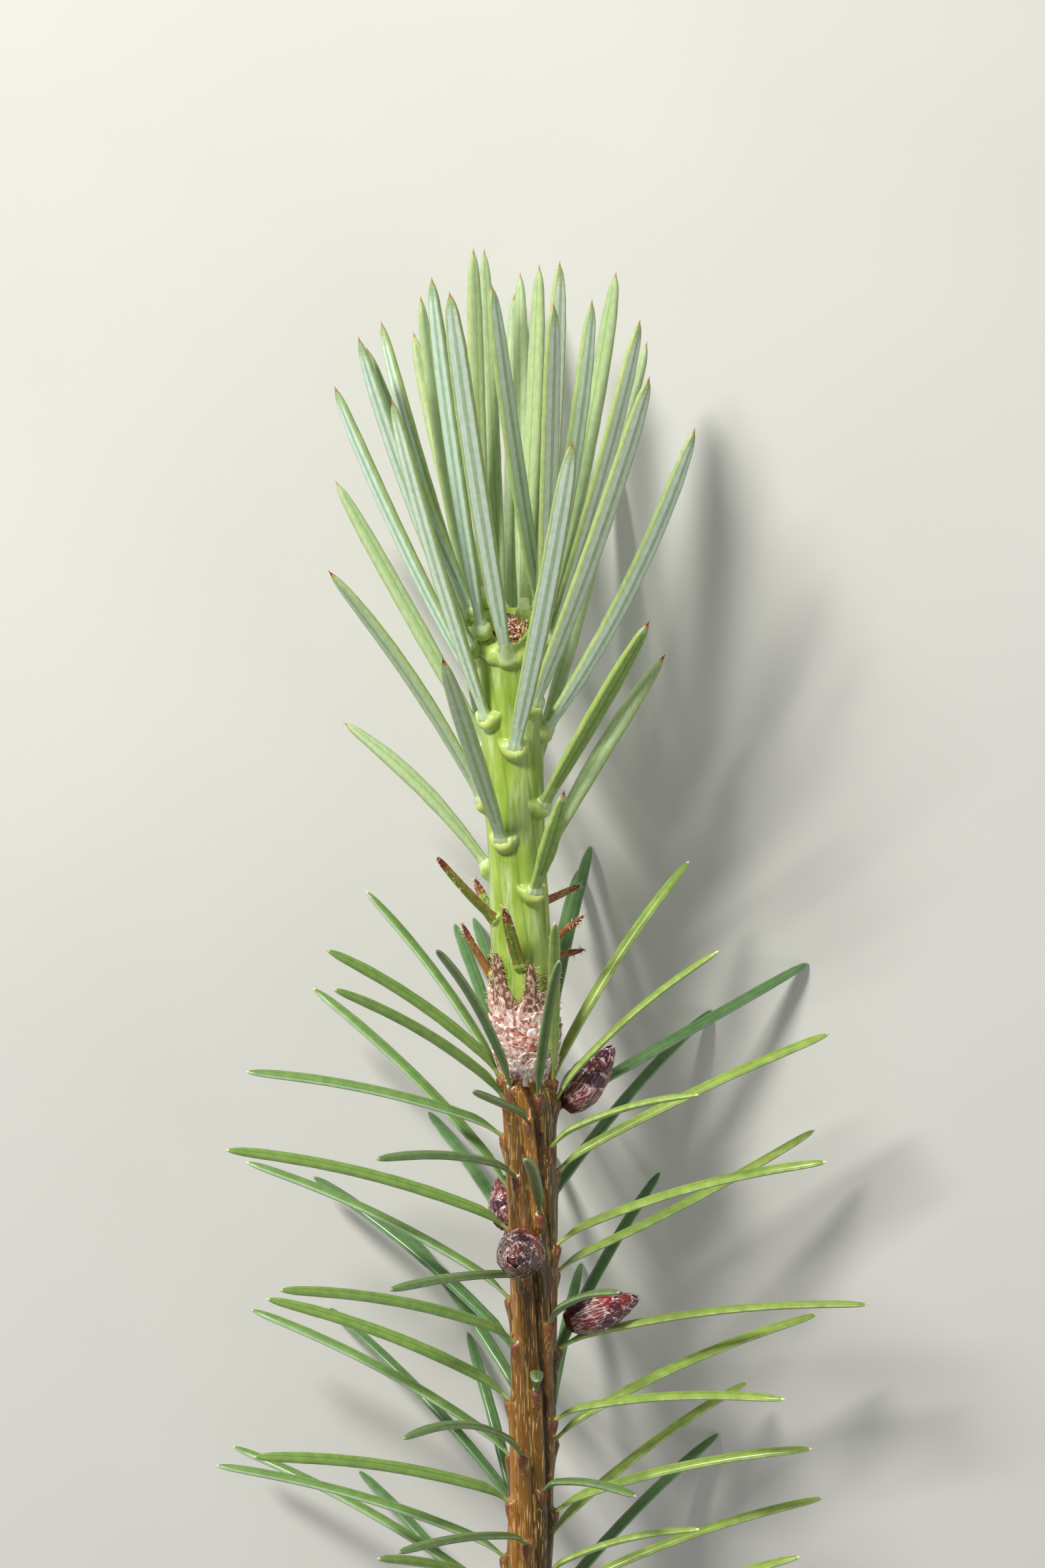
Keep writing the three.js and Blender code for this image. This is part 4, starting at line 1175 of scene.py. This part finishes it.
def bud_core(bud, finish):
    """The bud's body: a ring pulled out and narrowed row by row, then closed at its point."""
    bpy.ops.object.select_all(action="DESELECT")
    size = bud["radius"] * BUD_CORE * MM * BUD_PROFILE[0][1]
    bpy.ops.mesh.primitive_circle_add(vertices=BUD_SIDES, radius=size, fill_type="NGON")
    core = bpy.context.object
    bpy.ops.object.mode_set(mode="EDIT")
    for (low, narrow), (high, wide) in zip(BUD_PROFILE, BUD_PROFILE[1:]):
        step = (high - low) * bud["length"] * BUD_CORE_LENGTH * MM
        bpy.ops.mesh.extrude_region_move(TRANSFORM_OT_translate={"value": (0, 0, step)})
        bpy.ops.transform.resize(value=(wide / narrow, wide / narrow, 1))
    bpy.ops.mesh.select_all(action="SELECT")
    bpy.ops.mesh.normals_make_consistent(inside=False)
    bpy.ops.object.mode_set(mode="OBJECT")
    stand(core, bud["root"], bud["aim"])
    core.data.materials.append(finish)
    return core


def dress_bud(bud, finishes, basal):
    """Overlapping scales on a spiral from the bud's foot to its point. The last of the finishes
    is for fringes, and the lowest scales have their own."""
    surface = bud_surface(bud)
    patches, slots = [], []
    for number in range(BUD_SCALES):
        share = number / (BUD_SCALES - 1)
        foot = BUD_SCALE_START + BUD_SCALE_SPREAD * share
        tip = min(1.0, foot + BUD_SCALE_LENGTH - BUD_SCALE_LOSS * share)
        half = BUD_SCALE_HALF + BUD_SCALE_GAIN * share
        closing = 1 - BUD_SCALE_CLOSING * share - (BUD_TIP_CLOSING if tip == 1.0 else 0) * share
        lift = [
            (at, rise * closing + BUD_SCALE_CLEARANCE * (1 - at * share)) for at, rise in BUD_SCALE_LIFT
        ]
        middle = GOLDEN_ANGLE * number + rng.uniform(-BUD_SCALE_WANDER, BUD_SCALE_WANDER)
        patches.append(
            scale_patch(surface, middle, half, foot, tip, BUD_SCALE_OUTLINE, lift, BUD_CRUMPLE)
        )
        faces = range(len(patches[-1][1]))
        if number < BASAL_SCALES:
            slots += [len(finishes)] * len(faces)
        else:
            pick = rng.integers(len(finishes) - 1)
            slots += [len(finishes) - 1 if is_fringe(face) else pick for face in faces]
    return join_patches(bud["name"] + "_scales", patches, [*finishes, basal], slots, SCALE_THICKNESS)


def flecked_finish(name, fleck, body, share, grain=(5, 5, 5), turn=(0, 0, 0)):
    """A dark glossy scale with short pale flecks of dried resin."""
    return plain_finish(name, fleck, body, grain, 0.28, 0.06, share, 0.09, coat=0.4, turn=turn)


def bud_finishes(bud):
    """The finishes of one bud's scales, with flecks drawn out the way that the bud points, and some buds
    darkened as painted shade.
    """
    name, painted_shade_factor = bud["name"], BUD_PAINTED_SHADES.get(bud["name"], 1)
    turn = Vector(bud["aim"]).rotation_difference(Vector(ALONG)).to_euler()
    red = CRIMSON if name in CRIMSON_BUDS else DARK_RED
    return [
        flecked_finish(f"{name}_{label}", tone(fleck, painted_shade_factor), tone(body, painted_shade_factor), share, (6, 0.9, 6), turn)
        for label, fleck, body, share in [
            ("plum", (0.62, 0.50, 0.56), (0.27, 0.11, 0.18), 0.62),
            ("red", (0.78, 0.50, 0.48), red, 0.61),
            ("brown", (0.70, 0.54, 0.54), (0.32, 0.11, 0.12), 0.6),
            ("rose", (0.84, 0.68, 0.66), (0.44, 0.19, 0.20), 0.55),
            ("fringe", (0.90, 0.82, 0.82), (0.46, 0.27, 0.29), 0.51),
        ]
    ]


def make_buds(buds):
    core = plain_finish("bud_core", (0.40, 0.17, 0.16), (0.22, 0.09, 0.10), (5, 5, 5), 0.5)
    basal = plain_finish("bud_base", (0.66, 0.54, 0.56), (0.33, 0.20, 0.25), (3, 3, 3), 0.25,
                         coat=0.4)
    chaff = [
        flecked_finish("chaff_red", (0.92, 0.74, 0.64), (0.36, 0.13, 0.10), 0.58),
        flecked_finish("chaff_orange", (0.95, 0.78, 0.64), (0.56, 0.27, 0.15), 0.57),
        flecked_finish("chaff_fringe", (0.98, 0.94, 0.88), (0.52, 0.28, 0.21), 0.5),
    ]
    for bud in buds:
        bud = {**bud, **BUD_LOOKS.get(bud["name"], {})}
        inside = bud["name"] == TIP_BUD[0]
        body = bud_core(bud, core)
        finishes = chaff if inside else bud_finishes(bud)
        scales = dress_bud(bud, finishes, chaff[0] if inside else basal)
        choose(scales)
        body.select_set(True)
        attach(body, "root")
        bpy.ops.object.join()
        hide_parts(bud["name"])
    make_chaff(chaff)


# Chaff: half width and wander in degrees, the rest in millimetres
CHAFF_SCALES, CHAFF_HALF, CHAFF_WANDER, CHAFF_CRUMPLE = 22, 15, 6, 0.06
CHAFF_RADIUS, CHAFF_INNER, CHAFF_FOOT, CHAFF_RAISED = 1.95, 0.5, 95.3, 0.3
CHAFF_HEIGHT, CHAFF_SPREAD, CHAFF_FRONT = 0.7, 0.3, 1.2
CHAFF_OUTLINE = [(0, 1), (0.5, 0.8), (0.85, 0.35), (1, 0.05)]
CHAFF_LIFT = [(0, 0.0), (0.6, 0.12), (1, 0.05)]


def make_chaff(finishes):
    """Small pointed scales in two rings that stand round the bud inside the stem's hollow end."""
    patches, slots = [], []
    for number in range(CHAFF_SCALES):
        ring = number % 2
        radius, foot = CHAFF_RADIUS - CHAFF_INNER * ring, CHAFF_FOOT + CHAFF_RAISED * ring

        def cup(angle, along, rise):
            return on_stem(angle, along - rim_droop(angle), radius + rise)

        azimuth = 360 * number / CHAFF_SCALES + rng.uniform(-CHAFF_WANDER, CHAFF_WANDER)
        high = CHAFF_HEIGHT + CHAFF_SPREAD * rng.uniform() + CHAFF_FRONT * rim_droop(azimuth) / RIM_DROOP
        patches.append(scale_patch(cup, azimuth, CHAFF_HALF, foot, foot + high, CHAFF_OUTLINE,
                                   CHAFF_LIFT, CHAFF_CRUMPLE))
        slots += [2 if is_fringe(face) else ring for face in range(len(patches[-1][1]))]
    piece = join_patches("tip_chaff", patches, finishes, slots, SCALE_THICKNESS)


# The collar of old bud scales: places along the stem with its half width there

COLLAR = [
    (56.6, 2.1), (57.6, 2.3), (58.3, 2.42), (59.4, 2.62), (60.5, 2.76), (62.0, 2.72), (64.6, 2.68),
]
COLLAR_INSET, COLLAR_LIP, COLLAR_SIDES = 0.12, [(62.6, 2.5), (62.5, 2.2), (61.5, 2.1)], 48
COLLAR_ROWS, COLLAR_PER_ROW, LOW_COLLAR_ROWS = 9, 12, 3
COLLAR_START, COLLAR_STEP, COLLAR_SHIFT, COLLAR_WANDER = 56.5, 0.82, 0.2, 7
COLLAR_HALVES, COLLAR_LENGTHS, COLLAR_CRUMPLE, COLLAR_THICKNESS = (17, 27), (1.3, 2.1), 0.21, 0.06
COLLAR_SCALE_OUTLINE = [(0, 0.9), (0.4, 1), (0.75, 0.9), (0.92, 0.6), (1, 0.3)]
COLLAR_SCALE_LIFT = [(0, -0.1), (0.3, 0.04), (0.7, 0.18), (1, 0.3)]
NOTCH_AZIMUTH, NOTCH_HALF, NOTCH_FOOT = -16, 19, 61.3

# Shares of silver, rose, red and amber scales, and of faces that are silver whatever their scale
LOW_SHARES, HIGH_SHARES = (0.42, 0.26, 0.22, 0.1), (0.2, 0.36, 0.44, 0)
STRAY_SILVER, FROST_SHARE = 0.25, 0.6

# Scales that stand up: azimuth, place of the tip, half width in degrees
FINGERS = [
    (-46, 68.3, 46), (14, 67.6, 32), (50, 66.7, 26), (96, 66.0, 36), (150, 67.4, 44), (-158, 66.4, 34),
    (-112, 67.2, 34),
]
FINGER_START, FINGER_CRUMPLE, FINGER_FOOT_FACES = 61.6, 0.07, 20
FINGER_OUTLINE = [
    (0, 1), (0.28, 1), (0.4, 0.72), (0.52, 0.4), (0.62, 0.28), (0.85, 0.24), (0.95, 0.17), (1, 0.06),
]
FINGER_LIFT = [(0, 0.05), (0.4, 0.22), (0.8, 0.42), (1, 0.52)]


def collar_surface(angle, along, rise):
    return on_stem(angle, along, between(COLLAR, along) + rise)


def papery_scales():
    """Rows of crumpled scales round the collar, with a notch in front, and their faces' finishes."""
    patches, slots = [], []
    for row in range(COLLAR_ROWS):
        shares = LOW_SHARES if row < LOW_COLLAR_ROWS else HIGH_SHARES
        for place in range(COLLAR_PER_ROW):
            middle = 360 * (place + 0.5 * (row % 2)) / COLLAR_PER_ROW
            middle += rng.uniform(-COLLAR_WANDER, COLLAR_WANDER)
            foot = COLLAR_START + COLLAR_STEP * row + rng.uniform(-COLLAR_SHIFT, COLLAR_SHIFT)
            if foot > NOTCH_FOOT and abs(half_turn(middle - NOTCH_AZIMUTH)) < NOTCH_HALF:
                continue
            half, tip = rng.uniform(*COLLAR_HALVES), foot + rng.uniform(*COLLAR_LENGTHS)
            patches.append(scale_patch(collar_surface, middle, half, foot, tip, COLLAR_SCALE_OUTLINE,
                                       COLLAR_SCALE_LIFT, COLLAR_CRUMPLE))
            pick = int(rng.choice(4, p=shares))
            for face in range(len(patches[-1][1])):
                frosted = rng.random() < (FROST_SHARE if is_fringe(face) else STRAY_SILVER)
                slots.append(0 if frosted else pick)
    return patches, slots


def make_collar():
    """The papery scales, the ones that stand up over them like fingers, and the core inside."""
    fine = (3.4, 2.2, 3.4)
    finishes = [
        plain_finish("paper_silver", (1.0, 0.95, 0.93), (0.77, 0.63, 0.60), fine, 0.32, 0.05),
        plain_finish("paper_rose", (0.95, 0.80, 0.76), (0.62, 0.42, 0.38), fine, 0.32, 0.05),
        plain_finish("paper_red", (0.90, 0.64, 0.57), (0.56, 0.26, 0.22), fine, 0.3, 0.05),
        plain_finish("paper_amber", (0.98, 0.80, 0.60), (0.78, 0.47, 0.25), fine, 0.3, 0.05),
        plain_finish("paper_brown", (0.84, 0.71, 0.63), (0.46, 0.30, 0.24), fine, 0.4, 0.08, 0.55, 0.08),
    ]
    silver, rose, brown = 0, 1, 4
    patches, slots = papery_scales()
    for azimuth, tip, half in FINGERS:
        patches.append(scale_patch(collar_surface, azimuth, half, FINGER_START, tip, FINGER_OUTLINE,
                                   FINGER_LIFT, FINGER_CRUMPLE))
        slots += [rose if face % 3 else silver for face in range(FINGER_FOOT_FACES)]
        slots += [brown] * (len(patches[-1][1]) - FINGER_FOOT_FACES)
    piece = join_patches("collar_scales", patches, finishes, slots, COLLAR_THICKNESS)
    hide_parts("bud_scale_collar")

    around = 360 * np.arange(COLLAR_SIDES) / COLLAR_SIDES
    inside = [(along, size - COLLAR_INSET) for along, size in COLLAR[:-1]] + COLLAR_LIP
    rings = [on_stem(around, np.full(COLLAR_SIDES, along), size) for along, size in inside]
    core = mesh_piece("collar_core", *closed_tube(rings), [finishes[brown]])


# Hairs: the shortest, the longest and the half width, by where they grow
HAIR_SIZES = {
    "finger": (0.3, 0.75, 0.035), "leaf": (0.3, 0.75, 0.05), "collar": (0.25, 0.6, 0.025),
    "tip": (0.4, 0.9, 0.028),
}
FINGER_HAIR_PLACES, LEAF_HAIR_PLACES = np.linspace(0.25, 0.98, 26), np.linspace(0.45, 1, 44)
COLLAR_HAIRS, COLLAR_HAIR_SPAN, COLLAR_HAIR_RISE = 160, (57.5, 64.9), 0.15
TIP_HAIRS, TIP_HAIR_PLACE, TIP_HAIR_SPAN = 70, 96.2, (0.9, 2.0)
HAIR_SIDES, HAIR_BEND, HAIR_DEPTH = 3, 0.3, 0.6
HAIR_TAPER = ((0, 1), (0.5, 0.75), (1, 0.15))
HAIR_GUIDE = RIGHT + 0.3 * ALONG


def hair(root, way, kind):
    """A tapering three-sided hair with a slight bend."""
    shortest, longest, radius = HAIR_SIZES[kind]
    length = rng.uniform(shortest, longest)
    side = unit(np.cross(way, HAIR_GUIDE))
    other = np.cross(way, side)
    bend = side * rng.uniform(-HAIR_BEND, HAIR_BEND) + other * rng.uniform(-HAIR_BEND, HAIR_BEND)
    angles = 2 * math.pi * np.arange(HAIR_SIDES) / HAIR_SIDES
    spokes = np.array([math.cos(angle) * side + math.sin(angle) * other for angle in angles])
    return closed_tube([
        root + way * length * share + bend * length * share * share + radius * width * spokes
        for share, width in HAIR_TAPER
    ])


def finger_hairs():
    """Hairs along both edges of the scales that stand up."""
    for azimuth, tip, widest in FINGERS:
        for share in FINGER_HAIR_PLACES:
            half = widest * between(FINGER_OUTLINE, share)
            along = FINGER_START + (tip - FINGER_START) * share
            rise = between(FINGER_LIFT, share) * HAIR_DEPTH
            for way in (-1, 1):
                lean = outward(azimuth + way * 90) * rng.uniform(0.3, 1)
                lean = lean + rng.uniform(-0.3, 1) * ALONG
                lean = unit(lean + 0.6 * rng.uniform(0, 1) * outward(azimuth))
                yield hair(collar_surface(azimuth + way * half, along, rise), lean, "finger")


def leaf_hairs(needles):
    """Hairs round the outer half of the small scale leaves."""
    for needle in needles:
        if needle.leaf <= LAST_LONG_LEAF:
            continue
        ahead = unit(needle.tip - needle.bend)
        for share in LEAF_HAIR_PLACES:
            lean = unit(0.6 * ahead + 0.8 * unit(rng.normal(size=3)))
            yield hair(needle.at(share * needle.length), lean, "leaf")


def collar_hairs():
    """Hairs all over the collar, where chance puts them."""
    for _ in range(COLLAR_HAIRS):
        azimuth, along = rng.uniform(0, 360), rng.uniform(*COLLAR_HAIR_SPAN)
        lean = unit(0.5 * outward(azimuth) + ALONG * rng.uniform(0.2, 1) + 0.5 * rng.normal(size=3))
        yield hair(collar_surface(azimuth, along, COLLAR_HAIR_RISE), lean, "collar")


def tip_hairs():
    """Hairs among the chaff in the stem's hollow end."""
    for _ in range(TIP_HAIRS):
        azimuth = rng.uniform(0, 360)
        root = on_stem(azimuth, TIP_HAIR_PLACE - rim_droop(azimuth), rng.uniform(*TIP_HAIR_SPAN))
        yield hair(root, unit(ALONG + 0.6 * rng.normal(size=3)), "tip")


def make_hairs(needles):
    hairs = [*finger_hairs(), *leaf_hairs(needles), *collar_hairs(), *tip_hairs()]
    finish = plain_finish("hair_pale", (0.95, 0.90, 0.78), (0.85, 0.72, 0.50), (3, 3, 3), 0.4)
    piece = mesh_piece("scale_hairs", *merged(hairs), [finish])


# Round knobs and the lip at the feet of the tuft's needles, and the cap where each foot spreads

RING_KNOB, HIGH_KNOB, LAST_RING_LEAF = 0.9, 0.74, -30
KNOB_TILT, KNOB_CAP, KNOB_SEGMENTS, KNOB_RINGS = 0.4, 0.45, 24, 16
LIP_BALLS = [(-42, 0.35, 0.9), (-21, 0.0, 1.04), (0, -0.15, 1.12), (21, 0.0, 1.04), (42, 0.35, 0.9)]
LIP_FLARE = [(0.3, 0.8), (0.55, 0.72), (0.85, 0.64), (1.15, 0.57), (1.5, 0.52)]
LIP_SINK, LIP_GRAIN, LIP_SMOOTHING = 0.48, 0.09, 28
FLARE_FRONT, FLARE_PLACES, FLARE_SPREAD = 0.31, np.linspace(0, 2, 9), 0.74


def knob_ball(middle, way, size):
    """A ball with its pole turned the way that its needle grows."""
    bpy.ops.object.select_all(action="DESELECT")
    bpy.ops.mesh.primitive_uv_sphere_add(
        segments=KNOB_SEGMENTS, ring_count=KNOB_RINGS, radius=size * MM
    )
    bpy.ops.object.shade_smooth()
    stand(bpy.context.object, middle, way)
    return bpy.context.object


def join_balls(balls):
    choose(balls[0])
    for ball in balls:
        ball.select_set(True)
    bpy.ops.object.join()
    return bpy.context.object


def cap_faces(piece, finishes, is_cap):
    """Gives the piece its green finish, and the pale one where the needle's foot spreads."""
    for finish in finishes:
        piece.data.materials.append(finish)
    for face in piece.data.polygons:
        face.material_index = int(is_cap(np.array(face.center) / MM - OFFSET))


def front_lip(needle, finishes):
    """The broad swollen lip at the front of the rim, melted together from balls. Smaller ones
    lead up into the needle's foot."""
    balls = []
    for turn, rise, size in LIP_BALLS:
        azimuth, along = needle.azimuth + turn, needle.seat + rise
        balls.append(knob_ball(on_stem(azimuth, along, girth(along) - LIP_SINK), ALONG, size))
    for place, size in LIP_FLARE:
        middle = needle.at(place) - outward(needle.azimuth) * (size - FLARE_FRONT)
        balls.append(knob_ball(middle, ALONG, size))
    lip = join_balls(balls)
    apply_modifier(lip, "REMESH", mode="VOXEL", voxel_size=LIP_GRAIN * MM, use_smooth_shade=True)
    apply_modifier(lip, "SMOOTH", factor=0.5, iterations=LIP_SMOOTHING)
    foot = needle.at(FLARE_PLACES)
    cap_faces(lip, finishes, lambda at: np.linalg.norm(foot - at, axis=1).min() < FLARE_SPREAD)
    return lip


def make_tuft_knobs(needles):
    finishes = [
        plain_finish("knob_green", (0.72, 0.79, 0.44), (0.63, 0.72, 0.34), (2, 2, 2), 0.32, 0.01),
        plain_finish("knob_cap", (0.79, 0.86, 0.64), (0.73, 0.81, 0.56), (2, 2, 2), 0.4, 0.01),
    ]
    knobs = []
    for needle in needles:
        if needle.leaf == GREEN["ring"]:
            knobs.append(front_lip(needle, finishes))
        elif needle.leaf < GREEN["ring"]:
            middle, size = needle.at(RING_BALL), RING_KNOB if needle.leaf >= LAST_RING_LEAF else HIGH_KNOB
            way = unit(unit(needle.bend - needle.root) + KNOB_TILT * outward(needle.azimuth))
            knobs.append(knob_ball(middle, way, size))
            cap_faces(knobs[-1], finishes, lambda at: (at - middle) @ way > KNOB_CAP * size)
    joined = join_balls(knobs)
    joined.name = joined.data.name = "tuft_knobs"
    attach(joined, "root")


# Building the shoot

side_buds = [bud_place(*bud) for bud in BUDS]
tip_name, tip_start, tip_length, tip_radius = TIP_BUD
tip_bud = {
    "name": tip_name, "root": stem_middle(tip_start - TIP_BUD_SUNK), "aim": ALONG,
    "length": tip_length - TIP_BUD_LOSS, "radius": tip_radius,
}
grown = []
for wood in (BROWN, GREEN):
    for leaf in range(wood["last"], wood["first"] - 1, -1):
        grown.append(grow(wood, leaf, grown, side_buds))
brown_needles = [needle for needle in grown if needle.wood is BROWN]
green_needles = [needle for needle in grown if needle.wood is GREEN]
for needle in green_needles:
    needle.set_foot(*shown_foot(needle))
for needle in brown_needles:
    foot_turn, foot_inset, foot_rise = BROWN_FOOT_MOVES.get(needle.leaf, (0, 0, 0))
    needle.set_foot(foot_turn, foot_inset, foot_rise + float(between(BROWN_FOOT_RISES, needle.leaf)))

brown_bark(brown_needles)
green_bark(green_needles)
old_needles(brown_needles)
new_needles(green_needles)
make_tuft_knobs(green_needles)
make_collar()
make_buds([*side_buds, tip_bud])
make_hairs(green_needles)


# Table, light and camera

def soft_light(name, way, distance, size, power, colour):
    """A square lamp that shines on the shoot's middle from the way given."""
    lamp = bpy.data.lights.new(name, "AREA")
    lamp.size, lamp.energy, lamp.color = size, power, colour
    lamp_object = bpy.data.objects.new(name, lamp)
    bpy.context.scene.collection.objects.link(lamp_object)
    way = Vector(way).normalized()
    lamp_object.location = Vector((0, 0, AXIS_HEIGHT * MM)) + way * distance
    lamp_object.rotation_mode = "QUATERNION"
    lamp_object.rotation_quaternion = way.to_track_quat("Z", "Y")


soft_light("key", way=(-0.45, 0.72, 0.56), distance=0.6, size=0.1, power=4.5, colour=(1, 0.975, 0.93))
soft_light("fill", way=(0.8, -0.3, 0.6), distance=0.7, size=0.5, power=0.5, colour=(1, 1, 1))
world = bpy.data.worlds.new("studio")
world.use_nodes = True
world.node_tree.nodes["Background"].inputs["Color"].default_value = (1, 1, 1, 1)
world.node_tree.nodes["Background"].inputs["Strength"].default_value = 0.3
bpy.context.scene.world = world
bpy.context.scene.view_settings.view_transform = "Standard"

bpy.ops.object.select_all(action="DESELECT")
bpy.ops.mesh.primitive_plane_add(size=4, location=(0, 0, 0))
table = bpy.context.object
table.name = "table"
table.data.materials.append(
    plain_finish("pale_table", (0.86, 0.86, 0.84), (0.84, 0.84, 0.82), (0.02, 0.02, 0.02), 0.8, 0)
)

lean = math.radians(VIEW_LEAN)
back = Vector((0, math.sin(lean), math.cos(lean)))
top = Vector((0, math.cos(lean), -math.sin(lean)))
aim = Vector((np.array([0, VIEW_MIDDLE, 0]) + OFFSET) * MM)
camera_data = bpy.data.cameras.new("camera")
camera_data.lens, camera_data.sensor_fit, camera_data.sensor_height = LENS, "VERTICAL", SENSOR
camera = bpy.data.objects.new("camera", camera_data)
bpy.context.scene.collection.objects.link(camera)
camera.matrix_world = Matrix.Translation(aim + back * VIEW_DISTANCE * MM) @ Matrix((
    (1, top.x, back.x), (0, top.y, back.y), (0, top.z, back.z),
)).to_4x4()
bpy.context.scene.camera = camera
